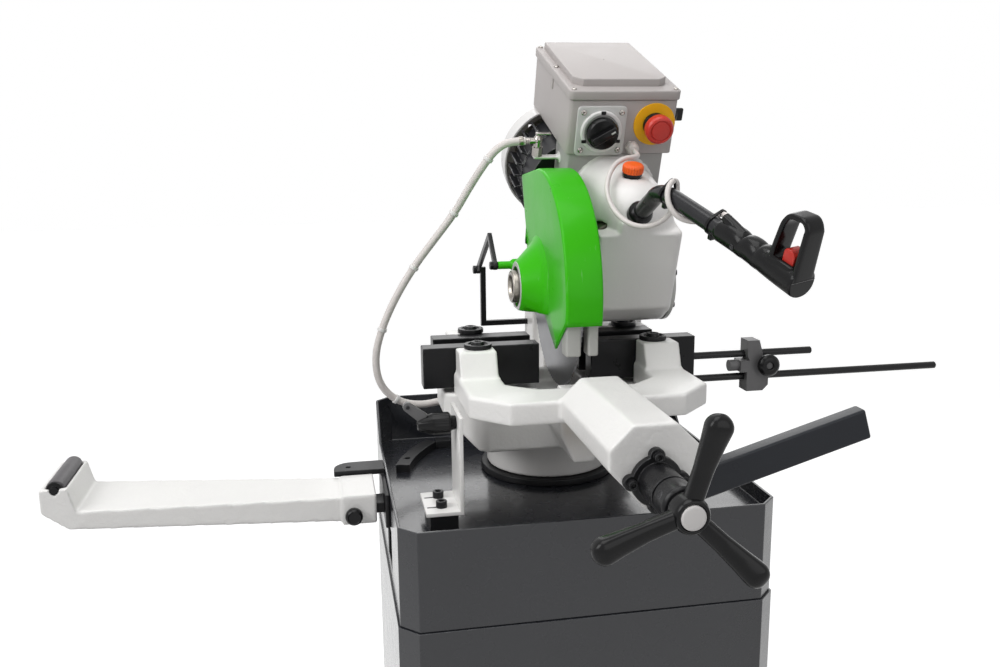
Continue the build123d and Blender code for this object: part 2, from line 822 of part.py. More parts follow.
def vise_slide():
    """Moving casting: octagonal snout, Y-shaped arms and two bosses behind the front jaws."""
    snout = [
        (SNOUT_TOP_HALF, SNOUT_TOP),
        (SNOUT_HALF_X, SNOUT_SIDE_Z[1]),
        (SNOUT_HALF_X, SNOUT_SIDE_Z[0]),
        (SNOUT_BOTTOM_HALF, SNOUT_BOTTOM),
    ]
    hollow = [
        (CHANNEL_HALF_X, CHANNEL_TOP),
        (CHANNEL_HALF_X, BED_Z),
        (SNOUT_BOTTOM_HALF, SNOUT_BOTTOM + SNOUT_FLOOR),
    ]
    low = BED_Z + LIFT
    inner = ARM_INNER_X
    half_plan = [
        (SHOULDER_X, SNOUT_BACK - SHOULDER),
        (ARM_HALF_X, SNOUT_BACK + ELBOW),
        (ARM_HALF_X, FRONT_JAW_Y[0]),
        (inner, FRONT_JAW_Y[0]),
        (inner, SNOUT_BACK + CROTCH),
        (CROTCH_HALF_X, SNOUT_BACK + CROTCH_FLAT),
    ]
    body = prism("Y", (SNOUT_FRONT, SNOUT_BACK), mirror_x(snout))
    body += prism("Z", (low, ARM_TOP), mirror_x(half_plan))
    boss = [
        (FRONT_JAW_Y[0] - JAW_BOSS_FOOT, ARM_TOP),
        (FRONT_JAW_Y[0] - JAW_BOSS_HEAD, JAW_TOP),
        (FRONT_JAW_Y[0], JAW_TOP),
        (FRONT_JAW_Y[0], ARM_TOP),
    ]
    margin = JAW_BOSS_MARGIN
    for x in ((inner + margin, ARM_HALF_X - margin), (margin - ARM_HALF_X, -inner - margin)):
        body += prism("X", x, boss)
    body -= prism("Y", (SNOUT_FRONT + SNOUT_WALL, SNOUT_BACK), mirror_x(hollow))
    channel_x = (-CHANNEL_HALF_X, CHANNEL_HALF_X)
    body -= box(channel_x, (SNOUT_BACK, FRONT_JAW_Y[0]), (low, CHANNEL_TOP))
    front = (0, SNOUT_FRONT, SCREW_Z)
    body -= rod(front, (0, SNOUT_FRONT + SNOUT_WALL, SCREW_Z), SCREW_R + RUN)
    for x, y in front_clamp_spots():
        body -= rod((x, y, JAW_TOP - CLAMP_BOLT), (x, y, JAW_TOP), CLAMP_BOLT_R)
    return body


def screw_flange():
    """Lobed flange with the thrust sleeve of the vise screw."""
    face = SNOUT_FRONT - FLANGE
    body = rod((0, face, SCREW_Z), (0, SNOUT_FRONT, SCREW_Z), FLANGE_LOBE)
    for x, z in ((1, 0), (-1, 0), (0, 1), (0, -1)):
        centre_x = x * FLANGE_LOBE
        centre_z = SCREW_Z + z * FLANGE_LOBE
        body += rod((centre_x, face, centre_z), (centre_x, SNOUT_FRONT, centre_z), FLANGE)
    body += rod((0, SLEEVE_FRONT, SCREW_Z), (0, face, SCREW_Z), SLEEVE_R)
    return body - rod((0, SLEEVE_FRONT, SCREW_Z), (0, SNOUT_FRONT, SCREW_Z), SCREW_R + RUN)


def vise_screw():
    """Screw from the handwheel to the nut."""
    return rod((0, HUB_FRONT + CAP_DEPTH, SCREW_Z), (0, SCREW_BACK, SCREW_Z), SCREW_R)


def screw_collar():
    """Collar that holds the screw in its sleeve."""
    back = SLEEVE_FRONT - LIFT
    body = tube((0, COLLAR_FRONT, SCREW_Z), (0, back, SCREW_Z), COLLAR_R, SCREW_R)
    middle = (COLLAR_FRONT + back) / 2
    return body - rod((0, middle, SCREW_Z), (-COLLAR_R, middle, SCREW_Z), SET_SCREW_R)


def handwheel():
    """Hub with three tapered arms."""
    body = rod((0, HUB_FRONT, SCREW_Z), (0, COLLAR_FRONT, SCREW_Z), HUB_R)
    middle = (0, (HUB_FRONT + COLLAR_FRONT) / 2, SCREW_Z)
    thick = (-WHEEL_ARM_THICK / 2, WHEEL_ARM_THICK / 2)
    corners = [
        (0, WHEEL_ROOT_HALF),
        (WHEEL_ARM, WHEEL_TIP_R),
        (WHEEL_ARM, -WHEEL_TIP_R),
        (0, -WHEEL_ROOT_HALF),
    ]
    arm = prism("Z", thick, corners)
    arm += rod((WHEEL_ARM, 0, thick[0]), (WHEEL_ARM, 0, thick[1]), WHEEL_TIP_R)
    for turn in (0, 120, 240):
        angle = radians(WHEEL_TURN + turn)
        along = Vector(cos(angle), -WHEEL_SWEEP / WHEEL_ARM, sin(angle))
        side = Vector(-sin(angle), 0, cos(angle))
        body += Plane(origin=middle, x_dir=along, z_dir=along.cross(side)) * arm
    body -= rod((0, HUB_FRONT, SCREW_Z), (0, COLLAR_FRONT, SCREW_Z), SCREW_R)
    return body - rod((0, HUB_FRONT, SCREW_Z), (0, HUB_FRONT + CAP_DEPTH, SCREW_Z), CAP_R)


def handwheel_cap():
    """Plain cap in the hub."""
    return rod((0, HUB_FRONT - CAP_RISE, SCREW_Z), (0, HUB_FRONT + CAP_DEPTH, SCREW_Z), CAP_R)


def brace_bracket():
    """White L-bracket on a black block."""
    block = box(
        (BRACKET_X[0] + FOOT_LIP, BRACKET_X[1] - FOOT_SET),
        (BRACKET_Y[0] + FOOT_END, BRACKET_Y[1] - FOOT_END),
        (TRAY_Z, BRACKET_BLOCK_TOP),
    )
    foot_top = BRACKET_BLOCK_TOP + BRACKET_PLATE
    plate_x = (BRACKET_X[1], BRACKET_X[1] + BRACKET_PLATE)
    plate = box((BRACKET_X[0], plate_x[1]), BRACKET_Y, (BRACKET_BLOCK_TOP, foot_top))
    plate += box(plate_x, BRACKET_Y, (foot_top, BRACE_Z + BRACKET_CROWN))
    plate -= rod((plate_x[0], BRACE_Y, BRACE_Z), (plate_x[1], BRACE_Y, BRACE_Z), BRACE_STUD_R + RUN)
    return Compound(children=[block, plate])


def brace_lever():
    """Black clamping lever with a tapered hub and a short arm."""
    back = BRACKET_X[1] - LIFT
    stud_end = BRACKET_X[1] + BRACKET_PLATE
    body = cone((back, BRACE_Y, BRACE_Z), (BRACE_END_X, BRACE_Y, BRACE_Z), *BRACE_HUB_R)
    body += rod((back, BRACE_Y, BRACE_Z), (stud_end, BRACE_Y, BRACE_Z), BRACE_STUD_R)
    elbow = (BRACE_END_X + BRACE_ELBOW, BRACE_Y, BRACE_Z)
    tip = (BRACE_END_X + BRACE_ARM[0], BRACE_Y + BRACE_ARM[1], BRACE_Z + BRACE_ARM[2])
    body += cone(elbow, tip, *BRACE_ARM_R)
    return body + Pos(*tip) * Sphere(BRACE_BALL_R)


def mitre_stops():
    """Curved stop segment and stop block on the tray floor."""
    z = (TRAY_Z, STOP_TOP)
    x, y = ARC_CENTRE
    ring = tube((x, y, z[0]), (x, y, z[1]), ARC_R[1], ARC_R[0])
    reach = 2 * ARC_R[1]
    wedge = [(x, y)]
    for angle in (ARC_FROM, (ARC_FROM + ARC_TO) / 2, ARC_TO):
        wedge.append((x + reach * cos(radians(angle)), y + reach * sin(radians(angle))))
    segment = ring & prism("Z", z, wedge)
    turn = radians(ARC_TO - ARC_HOLE_TURN)
    middle = (ARC_R[0] + ARC_R[1]) / 2
    hole = (x + middle * cos(turn), y + middle * sin(turn))
    segment -= rod((*hole, z[0]), (*hole, z[1]), ARC_HOLE_R)
    sides = [(at - half, at + half) for at, half in zip(STOP_AT, STOP_HALF)]
    return Compound(children=[segment, box(*sides, z)])


def tray_screws():
    """Socket screws of the bracket foot."""
    foot_top = BRACKET_BLOCK_TOP + BRACKET_PLATE
    foot_x = (BRACKET_X[0] + BRACKET_X[1]) / 2
    foot_y = (BRACKET_Y[0] + FOOT_SCREW, BRACKET_Y[1] - FOOT_SCREW)
    heads = []
    for y in foot_y:
        low, middle, top = [(foot_x, y, foot_top + rise) for rise in (0, SCREW_HEAD / 2, SCREW_HEAD)]
        head = rod(low, top, SCREW_HEAD_R) - rod(middle, top, SCREW_HEAD_R / 2)
        heads.append(head)
    return Compound(children=heads)


def mitre_lever():
    """Rectangular bar on a shaft that runs back into the vise base."""
    y = (LEVER_Y - LEVER_THICK / 2, LEVER_Y + LEVER_THICK / 2)
    bar = box((0, LEVER_LENGTH), y, (-LEVER_TALL / 2, LEVER_TALL / 2))
    body = Pos(LEVER_X, 0, LEVER_Z) * Rot(0, -LEVER_RISE, 0) * bar
    front, back, end = [(LEVER_X, spot, LEVER_Z) for spot in (*y, LEVER_SHAFT_BACK)]
    return body + rod(front, back, LEVER_TALL / 2) + rod(back, end, LEVER_SHAFT_R)


def arm_flange():
    """Black bracket on the stand's left wall with the bar that the arm slides on."""
    wall = -STAND_HALF_X
    plate_x = (wall - FLANGE_PLATE, wall)
    hitch_z = (RIM_Z - HITCH_HALF, RIM_Z + HITCH_HALF)
    plate_y = (STUB_Y[0] - FLANGE_MARGIN, HITCH_Y[1])
    body = box(plate_x, plate_y, (TRAY_Z - FLANGE_DROP, hitch_z[0]))
    hitch = box((wall - HITCH_REACH, wall), HITCH_Y, hitch_z)
    corner = hitch.edges().filter_by(Axis.Z).group_by(Axis.X)[0].sort_by(Axis.Y)[-1]
    body += fillet(corner, HITCH_CORNER)
    hole = (wall - HITCH_HOLE[0], HITCH_HOLE[1])
    body -= rod((*hole, hitch_z[0]), (*hole, hitch_z[1]), HITCH_HOLE_R)
    return body + box((STUB_X, plate_x[0]), STUB_Y, STUB_Z)


def support_arm():
    """White arm with a socket at its root and a roller cradle at its end."""
    neck_z = TRAY_Z + ARM_NECK_RISE
    lip_z = ROLLER_Z + CRADLE_LIP
    side = [
        (ARM_ROOT_X, SOCKET_Z[0] + ARM_ROOT_STEP[0]),
        (ARM_ROOT_X, SOCKET_Z[1] - ARM_ROOT_STEP[1]),
        (ARM_NECK_X, neck_z),
        (ROLLER_X + CRADLE_SLOPE, lip_z),
        (ARM_END_X, lip_z),
        (ARM_END_X, neck_z),
        (ARM_CHIN_X, TRAY_Z + ARM_CHIN_RISE),
    ]
    plan = [
        (ARM_ROOT_X, SOCKET_Y[0] + ARM_ROOT_INSET),
        (ARM_ROOT_X, SOCKET_Y[1] - ARM_ROOT_INSET),
        (ARM_NECK_X, CRADLE_Y[1]),
        (ARM_END_X, CRADLE_Y[1]),
        (ARM_END_X, CRADLE_Y[0]),
        (ARM_NECK_X, CRADLE_Y[0]),
    ]
    body = prism("Y", CRADLE_Y, side) & prism("Z", (SOCKET_Z[0], lip_z), plan)
    body += box((ARM_BLOCK_X, ARM_ROOT_X), SOCKET_Y, SOCKET_Z)
    trough_y = (CRADLE_Y[0] + CRADLE_WALL, CRADLE_Y[1] - CRADLE_WALL)
    room = ROLLER_R + ROLLER_ROOM
    body -= rod((ROLLER_X, trough_y[0], ROLLER_Z), (ROLLER_X, trough_y[1], ROLLER_Z), room)
    axle = AXLE_R + RUN
    body -= rod((ROLLER_X, CRADLE_Y[0], ROLLER_Z), (ROLLER_X, CRADLE_Y[1], ROLLER_Z), axle)
    slot_y = (STUB_Y[0] - LIFT, STUB_Y[1] + LIFT)
    slot_z = (STUB_Z[0] - LIFT, STUB_Z[1] + LIFT)
    body -= box((STUB_X - STUB_ROOM, ARM_ROOT_X), slot_y, slot_z)
    stem_z = (STUB_Z[0] + STUB_Z[1]) / 2
    return body - rod((KNOB_X, SOCKET_Y[0], stem_z), (KNOB_X, slot_y[0], stem_z), KNOB_STEM_R + RUN)


def support_roller():
    """Black roller on its axle."""
    y = (CRADLE_Y[0] + CRADLE_WALL + GAP, CRADLE_Y[1] - CRADLE_WALL - GAP)
    body = rod((ROLLER_X, y[0], ROLLER_Z), (ROLLER_X, y[1], ROLLER_Z), ROLLER_R)
    return body + rod((ROLLER_X, CRADLE_Y[0], ROLLER_Z), (ROLLER_X, CRADLE_Y[1], ROLLER_Z), AXLE_R)


def arm_knob():
    """Clamp knob of the support arm."""
    z = (STUB_Z[0] + STUB_Z[1]) / 2
    head = SOCKET_Y[0] - LIFT
    body = rod((KNOB_X, head - KNOB, z), (KNOB_X, head, z), KNOB_R)
    return body + rod((KNOB_X, head, z), (KNOB_X, STUB_Y[0] - LIFT, z), KNOB_STEM_R)


def stop_rods():
    """Two bars that stand out of the right front jaw."""
    jaw_end = FRONT_JAWS_X[1][1]
    upper = rod((jaw_end, ROD_Y, UPPER_ROD_Z), (UPPER_ROD_END, ROD_Y, UPPER_ROD_Z), ROD_R)
    lower = rod((jaw_end, ROD_Y, LOWER_ROD_Z), (LOWER_ROD_END, ROD_Y, LOWER_ROD_Z), ROD_R)
    return Compound(children=[upper, lower])


def stop_block():
    """Clamp on both rods: a tapered upright, a low foot and a bar with a round stop button."""
    left, right = BLOCK_X
    low, top = BLOCK_Z
    foot_top = LOWER_ROD_Z + ROD_R + ROD_WALL
    upright = [
        (left, top),
        (left + BLOCK_CROWN, top),
        (left + BLOCK_CHEEK, UPPER_ROD_Z),
        (left + BLOCK_WAIST[1], foot_top),
        (left + BLOCK_WAIST[1], low),
        (left + BLOCK_WAIST[0], low),
        (left + BLOCK_WAIST[0], foot_top),
        (left, UPPER_ROD_Z),
    ]
    foot = [
        (left, low),
        (right - BLOCK_FOOT, low),
        (right, low + BLOCK_FOOT),
        (right, foot_top - BLOCK_FOOT),
        (right - BLOCK_FOOT, foot_top),
        (left, foot_top),
    ]
    body = prism("Y", BLOCK_Y, upright) + prism("Y", BLOCK_Y, foot)
    for z in (UPPER_ROD_Z, LOWER_ROD_Z):
        body -= rod((left, ROD_Y, z), (right, ROD_Y, z), ROD_R + RUN)
    middle = (UPPER_ROD_Z + LOWER_ROD_Z) / 2
    bar = left - BLOCK_BAR
    body += box((bar, right), BLOCK_Y, (middle - BLOCK_BAR_HALF, middle + BLOCK_BAR_HALF))
    body += rod((bar - STOP_BUTTON, ROD_Y, middle), (bar, ROD_Y, middle), STOP_BUTTON_R)
    front = (STOP_KNOB_X, BLOCK_Y[0], STOP_KNOB_Z)
    back = (STOP_KNOB_X, BLOCK_Y[0] + STOP_STEM, STOP_KNOB_Z)
    return body - rod(front, back, KNOB_STEM_R + RUN)


def stop_knob():
    """Clamp knob of the length stop."""
    head = BLOCK_Y[0] - LIFT
    front, seat, end = [(STOP_KNOB_X, y, STOP_KNOB_Z) for y in (head - STOP_KNOB, head, head + STOP_STEM)]
    return rod(front, seat, STOP_KNOB_R) + rod(seat, end, KNOB_STEM_R)


def blade():
    """Toothed saw blade."""
    points = []
    for tooth in range(BLADE_TEETH):
        for share, radius in ((0.0, BLADE_R), (0.3, BLADE_R - TOOTH_DEPTH)):
            angle = 2 * pi * (tooth + share) / BLADE_TEETH
            points.append((BLADE_Y + radius * cos(angle), BLADE_Z + radius * sin(angle)))
    disc = prism("X", (-BLADE_HALF, BLADE_HALF), points)
    return disc - rod((-BLADE_HALF, BLADE_Y, BLADE_Z), (BLADE_HALF, BLADE_Y, BLADE_Z), ARBOR_R)


def on_axis(x, radius):
    """Round bar on the blade axis."""
    return rod((x[0], BLADE_Y, BLADE_Z), (x[1], BLADE_Y, BLADE_Z), radius)


def spindle():
    """Spindle with its fixed flange, and the clamp flange with the hollow nose."""
    shaft = on_axis((FLANGE_X, SPINDLE_END), SPINDLE_R)
    shaft += on_axis((BLADE_HALF, FLANGE_X), FLANGE_R)
    shaft += on_axis((-BLADE_HALF, BLADE_HALF), ARBOR_R)
    nose = on_axis((-FLANGE_X, -BLADE_HALF), FLANGE_R)
    nose += on_axis((NOSE_X, -FLANGE_X), NOSE_R)
    nose -= on_axis((NOSE_X, -BLADE_HALF - NOSE_FLOOR), NOSE_BORE_R)
    return Compound(children=[shaft, nose])


def spindle_bearings():
    """Two ring bearings of the spindle."""
    rings = []
    for x in (LEFT_BEARING_X, RIGHT_BEARING_X):
        span = (x, x + BEARING_WIDTH)
        rings.append(on_axis(span, BEARING_R) - on_axis(span, SPINDLE_R + RUN))
    return Compound(children=rings)


def worm_wheel():
    """Bronze wheel on the spindle."""
    return on_axis(WHEEL_X, WHEEL_R) - on_axis(WHEEL_X, SPINDLE_R)


def hood_plate(x, radius, edge):
    """Flat plate with a round front, closed by an edge in (y, z) about the blade centre."""
    centre = Vector(x[0], BLADE_Y, BLADE_Z)
    low = centre + Vector(0, *HOOD_LOW).normalized() * radius
    middle = centre + Vector(0, -1, 1).normalized() * radius
    top = centre + Vector(0, 0, radius)
    rest = [centre + Vector(0, *point) for point in edge]
    edges = [ThreePointArc(low, middle, top), Polyline(top, *rest, low)]
    return extrude(make_face(edges), amount=x[1] - x[0], dir=(1, 0, 0))


def hood():
    """Green guard: two cheeks, a rim band, a conical hub and a lug for the link."""
    back_edge = [HOOD_CORNER, HOOD_WAIST, (HOOD_WAIST[0], CONE_FLOOR)]
    left_edge = back_edge + [(HOOD_TIP[0] + HOOD_NOTCH, CONE_FLOOR), HOOD_TIP]
    right_edge = back_edge + [(HOOD_TIP[0], CONE_FLOOR)]
    slope = (HOOD_CORNER[1] - HOOD_R) / HOOD_CORNER[0]
    open_back = HOOD_R
    room_top = HOOD_R - HOOD_WALL + slope * open_back
    room = [(open_back, room_top), (open_back, -HOOD_R), (-HOOD_R, -HOOD_R)]
    left_x = (HOOD_X[0], HOOD_X[0] + HOOD_WALL)
    right_x = (HOOD_X[1] - HOOD_WALL, HOOD_X[1])
    inner_x = (left_x[1], right_x[0])
    body = hood_plate(inner_x, HOOD_R, right_edge)
    body -= hood_plate(inner_x, HOOD_R - HOOD_WALL, room)
    body += hood_plate(left_x, HOOD_R, left_edge)
    body += hood_plate(right_x, HOOD_R, right_edge)
    base = (HOOD_X[0], BLADE_Y, BLADE_Z)
    end = (CONE_END_X, BLADE_Y, BLADE_Z)
    hub = cone(base, end, CONE_BASE_R, CONE_END_R)
    hub -= box(
        (CONE_END_X, HOOD_X[0]),
        (BLADE_Y - CONE_BASE_R, BLADE_Y + CONE_BASE_R),
        (BLADE_Z - CONE_BASE_R, BLADE_Z + CONE_FLOOR),
    )
    lug_end = LINK_X[1] + LIFT
    body += hub + rod((lug_end, *LUG_AT), (HOOD_X[0], *LUG_AT), LUG_R)
    body -= on_axis((CONE_END_X, left_x[1]), NOSE_R + GAP)
    return body - on_axis(right_x, BOSS_R + GAP)


def chip_deflectors():
    """Two pale blocks beside the blade under the front of the hood."""
    y = (BLADE_Y + DEFLECTOR_Y[0], BLADE_Y + DEFLECTOR_Y[1])
    z = (BLADE_Z + DEFLECTOR_Z[0], BLADE_Z + DEFLECTOR_Z[1])
    left = box((HOOD_X[0] + HOOD_WALL, DEFLECTOR_SLOT[0]), y, z)
    right = box((DEFLECTOR_SLOT[1], HOOD_X[1] - HOOD_WALL), y, z)
    return Compound(children=[left, right])


def guard_rod():
    """Square bar from the left ear, bent up to the link's pivot."""
    x = (LINK_X[1] + GAP, LINK_X[1] + GAP + BAR)
    y = (ANCHOR_AT[0] - BAR / 2, ANCHOR_AT[0] + BAR / 2)
    body = box((x[0], YOKE_X[0]), y, (BAR_FLOOR_Z, BAR_FLOOR_Z + BAR))
    body += box(x, y, (BAR_FLOOR_Z, ANCHOR_AT[1] + BAR / 2))
    head = LINK_X[0] - GAP
    body += rod((head, *ANCHOR_AT), (x[0], *ANCHOR_AT), LINK_PIN_R)
    return body + rod((head - LINK_BOLT, *ANCHOR_AT), (head, *ANCHOR_AT), 2 * LINK_PIN_R)


def guard_link():
    """V-shaped link between the bar and the hood's lug."""
    body = flat_bar(LINK_X, LUG_AT, APEX_AT, LINK_WIDTH)
    body += flat_bar(LINK_X, APEX_AT, ANCHOR_AT, LINK_WIDTH)
    body += rod((LINK_X[0], *ANCHOR_AT), (LINK_X[1], *ANCHOR_AT), LINK_EYE_R)
    body += rod((LINK_X[0], *LUG_AT), (LINK_X[1], *LUG_AT), LINK_EYE_R)
    return body - rod((LINK_X[0], *ANCHOR_AT), (LINK_X[1], *ANCHOR_AT), LINK_PIN_R + RUN)


def hinge_in_head():
    """Hinge axis in the head's own (u, w)."""
    tilt = radians(HEAD_TILT)
    back = HINGE_Y - BLADE_Y
    up = HINGE_Z - BLADE_Z
    return back * cos(tilt) + up * sin(tilt), up * cos(tilt) - back * sin(tilt)


def barrel(x, radius):
    """Round bar on the hinge axis, in the head's axes."""
    u, w = hinge_in_head()
    return rod((x[0], u, w), (x[1], u, w), radius)


def head_axis(x, radius):
    """Round bar on the spindle axis, in the head's axes."""
    return rod((x[0], 0, 0), (x[1], 0, 0), radius)


def motor_axis(u, radius):
    """Round bar on the motor axis, in the head's axes."""
    return rod((MOTOR_X, u[0], MOTOR_W), (MOTOR_X, u[1], MOTOR_W), radius)


def gear_case():
    """Grey casting: gear housing with a dome, neck, hinge arm, hood boss and valve ear."""
    hinge_u, hinge_w = hinge_in_head()
    side = [
        (CASE_FRONT, CASE_LIP),
        (CASE_FRONT + CASE_CHIN[0], CASE_CHIN[1]),
        (-CASE_FLOOR_HALF, CASE_FLOOR),
        (CASE_FLOOR_HALF, CASE_FLOOR),
        (NECK_U[0], CASE_CHIN[1]),
        (NECK_U[0], CASE_SHOULDER),
        (CASE_FRONT, CASE_SHOULDER),
    ]
    body = prism("X", CASE_X, side)
    body = fillet(body.edges().filter_by(Axis.Z).group_by(Axis.X)[-1], CASE_FILLET)
    body += Pos(DOME_X, DOME_U, DOME_W) * Sphere(DOME_R)
    body += rod((DOME_X, DOME_U, DOME_W), (DOME_X, NECK_U[0], DOME_W), DOME_R)
    body += head_axis(CASE_X, BULGE_R)
    body += box(NECK_X, NECK_U, (0, NECK_TOP))
    block_x = (DOME_X + SOCKET_BLOCK[0], DOME_X + SOCKET_BLOCK[1])
    body += box(block_x, (CASE_FRONT, DOME_U), (CASE_SHOULDER, SOCKET_AT[2]))
    arm_x = (YOKE_X[0] + EAR + GAP, YOKE_X[1] - EAR - GAP)
    root_u = COVER_R + CASE_ARM_ROOT
    arm = [
        (root_u, CASE_ARM_DROP),
        (hinge_u - CASE_ARM_LOW[0], hinge_w - CASE_ARM_LOW[1]),
        (hinge_u + CASE_ARM_HIGH[0], hinge_w + CASE_ARM_HIGH[1]),
        (NECK_U[1], 0),
        (root_u, 0),
    ]
    body += prism("X", arm_x, arm) + barrel(arm_x, HINGE_R)
    body += head_axis((BOSS_X, CASE_X[0]), BOSS_R)
    ear_x = (VALVE_X - VALVE_HALF, NECK_X[0])
    ear_u = (VALVE_U - VALVE_HALF, VALVE_U + VALVE_HALF)
    body += box(ear_x, ear_u, (VALVE_SEAT - VALVE_EAR, VALVE_SEAT))
    body -= rod(SOCKET_AT, BEND_AT, TUBE_R)
    body -= barrel(arm_x, PIN_R + RUN)
    spring_x = (SPRING_MIDDLE_X - SPRING_ROOM_HALF, SPRING_MIDDLE_X + SPRING_ROOM_HALF)
    body -= barrel(spring_x, SPRING_ROOM_R)
    body -= head_axis((CASE_INNER_X, CASE_X[1]), WHEEL_CAVITY_R)
    body -= head_axis((LEFT_BEARING_X, CASE_INNER_X), BEARING_R)
    body -= head_axis((BOSS_X, LEFT_BEARING_X), SPINDLE_R + GAP)
    body -= motor_axis((WORM_U[0] - WORM_ROOM, NECK_U[1]), WORM_BORE_R)
    body -= motor_axis((SHAFT_FRONT, WORM_U[0]), SHAFT_R + RUN)
    dome_top = DOME_W + DOME_R
    neck = (FILLER_X, FILLER_U, dome_top - FILLER_NECK)
    body -= rod(neck, (FILLER_X, FILLER_U, dome_top), FILLER_NECK_R + RUN)
    return HEAD * body


def gear_case_cover():
    """Round cover on the right of the gear case with the outer bearing seat."""
    outer = CASE_X[1]
    body = head_axis((outer, outer + COVER_THICK), COVER_R)
    body += head_axis((RIGHT_BEARING_X, outer), WHEEL_CAVITY_R)
    body -= head_axis((RIGHT_BEARING_X, RIGHT_BEARING_X + BEARING_WIDTH), BEARING_R)
    return HEAD * (body - head_axis((RIGHT_BEARING_X, SPINDLE_END + WORM_ROOM), SPINDLE_R + GAP))


def motor_housing():
    """Motor shell: smooth front bell, finned body and a rear plate."""
    front = NECK_U[1]
    plate = MOTOR_PLATE
    body = motor_axis((front, BELL_BACK), BELL_R) + motor_axis((BELL_BACK, FIN_BACK), FIN_CORE_R)
    fin_w = (FIN_CORE_R - FIN_ROOT, FIN_R)
    blank = box((-FIN_THICK / 2, FIN_THICK / 2), (BELL_BACK, FIN_BACK), fin_w)
    for fin in range(FINS):
        body += Pos(MOTOR_X, 0, MOTOR_W) * Rot(0, 360 * fin / FINS, 0) * blank
    body -= motor_axis((front + plate, FIN_BACK - plate), STATOR_R)
    body -= motor_axis((front, front + plate), WORM_BORE_R)
    body -= motor_axis((FIN_BACK - plate, FIN_BACK), SHAFT_R + RUN)
    above = box((MOTOR_X - FIN_R, MOTOR_X + FIN_R), (front, FIN_BACK), (MOTOR_FLAT, MOTOR_W + COWL_R))
    return HEAD * (body - above)


def fan_cover():
    """Pale cowl over the fan with slots in its back."""
    body = motor_axis((FIN_BACK, COWL_BACK), COWL_R)
    back_edge = body.edges().sort_by(Axis.Y)[-1]
    body = fillet(back_edge, COWL_FILLET)
    inner = motor_axis((FIN_BACK, COWL_BACK - COWL_WALL), COWL_R - COWL_WALL)
    body -= fillet(inner.edges().sort_by(Axis.Y)[-1], COWL_FILLET)
    slot_x = (MOTOR_X - COWL_SLOT_HALF_X, MOTOR_X + COWL_SLOT_HALF_X)
    slot_u = (COWL_BACK - 2 * COWL_WALL, COWL_BACK)
    for row in range(COWL_SLOTS):
        w = MOTOR_W + COWL_SLOT_PITCH * (row - (COWL_SLOTS - 1) / 2)
        body -= box(slot_x, slot_u, (w - COWL_SLOT_HALF, w + COWL_SLOT_HALF))
    x = (MOTOR_X - COWL_R, MOTOR_X + COWL_R)
    above = box(x, (FIN_BACK, COWL_BACK), (MOTOR_FLAT, MOTOR_W + COWL_R))
    return HEAD * (body - above)


def motor_rotor():
    """Motor shaft with worm, rotor pack and fan."""
    body = motor_axis((SHAFT_FRONT + LIFT, SHAFT_BACK), SHAFT_R)
    body += motor_axis(WORM_U, WORM_R)
    body += motor_axis((NECK_U[1] + ROTOR_SPACE, FIN_BACK - ROTOR_SPACE), ROTOR_R)
    return HEAD * (body + motor_axis((FIN_BACK + FAN_U[0], FIN_BACK + FAN_U[1]), FAN_R))


def box_base():
    """Open plastic box on the neck and the motor."""
    body = box(BOX_X, BOX_U, BOX_W)
    body -= box(
        (BOX_X[0] + BOX_WALL, BOX_X[1] - BOX_WALL),
        (BOX_U[0] + BOX_WALL, BOX_U[1] - BOX_WALL),
        (BOX_W[0] + BOX_WALL, BOX_W[1]),
    )
    front = (BOX_U[0], BOX_U[0] + BOX_WALL)
    holes = ((SWITCH_X, SWITCH_W, STEM_R), (ESTOP_X, ESTOP_W, ESTOP_STEM_R))
    for x, w, radius in holes:
        body -= rod((x, front[0], w), (x, front[1], w), radius + RUN)
    right = (BOX_X[1] - BOX_WALL, BOX_X[1])
    start = (right[0], SELECTOR_U, SELECTOR_W)
    return HEAD * (body - rod(start, (right[1], SELECTOR_U, SELECTOR_W), STEM_R + RUN))


def box_lid():
    """Lid with an overhanging flange and a raised panel."""
    x = (BOX_X[0] - LID_OVER, BOX_X[1] + LID_OVER)
    u = (BOX_U[0] - LID_OVER, BOX_U[1] + LID_OVER)
    body = box(x, u, (BOX_W[1], LID_TOP))
    front = BOX_U[0] + PANEL_FRONT
    back = BOX_U[1] - PANEL_BACK
    cut = PANEL_CHAMFER
    panel = [
        (PANEL_X[0], front + cut),
        (PANEL_X[0] + cut, front),
        (PANEL_X[1] - cut, front),
        (PANEL_X[1], front + cut),
        (PANEL_X[1], back),
        (PANEL_X[0], back),
    ]
    body += prism("Z", (LID_TOP, PANEL_TOP), panel)
    inner_x = (BOX_X[0] + BOX_WALL, BOX_X[1] - BOX_WALL)
    inner_u = (BOX_U[0] + BOX_WALL, BOX_U[1] - BOX_WALL)
    return HEAD * (body - box(inner_x, inner_u, (BOX_W[1], LID_TOP - BOX_WALL)))


def switch_plate():
    """White square plate with a ring around the main switch."""
    face = BOX_U[0] - SWITCH_PLATE
    x = (SWITCH_X - SWITCH_HALF, SWITCH_X + SWITCH_HALF)
    w = (SWITCH_W - SWITCH_HALF, SWITCH_W + SWITCH_HALF)
    body = box(x, (face, BOX_U[0]), w)
    body = fillet(body.edges().filter_by(Axis.Y), SWITCH_CORNER)
    start = (SWITCH_X, face - SWITCH_RING, SWITCH_W)
    body += rod(start, (SWITCH_X, face, SWITCH_W), SWITCH_RING_R)
    return HEAD * (body - rod(start, (SWITCH_X, BOX_U[0], SWITCH_W), STEM_R + RUN))


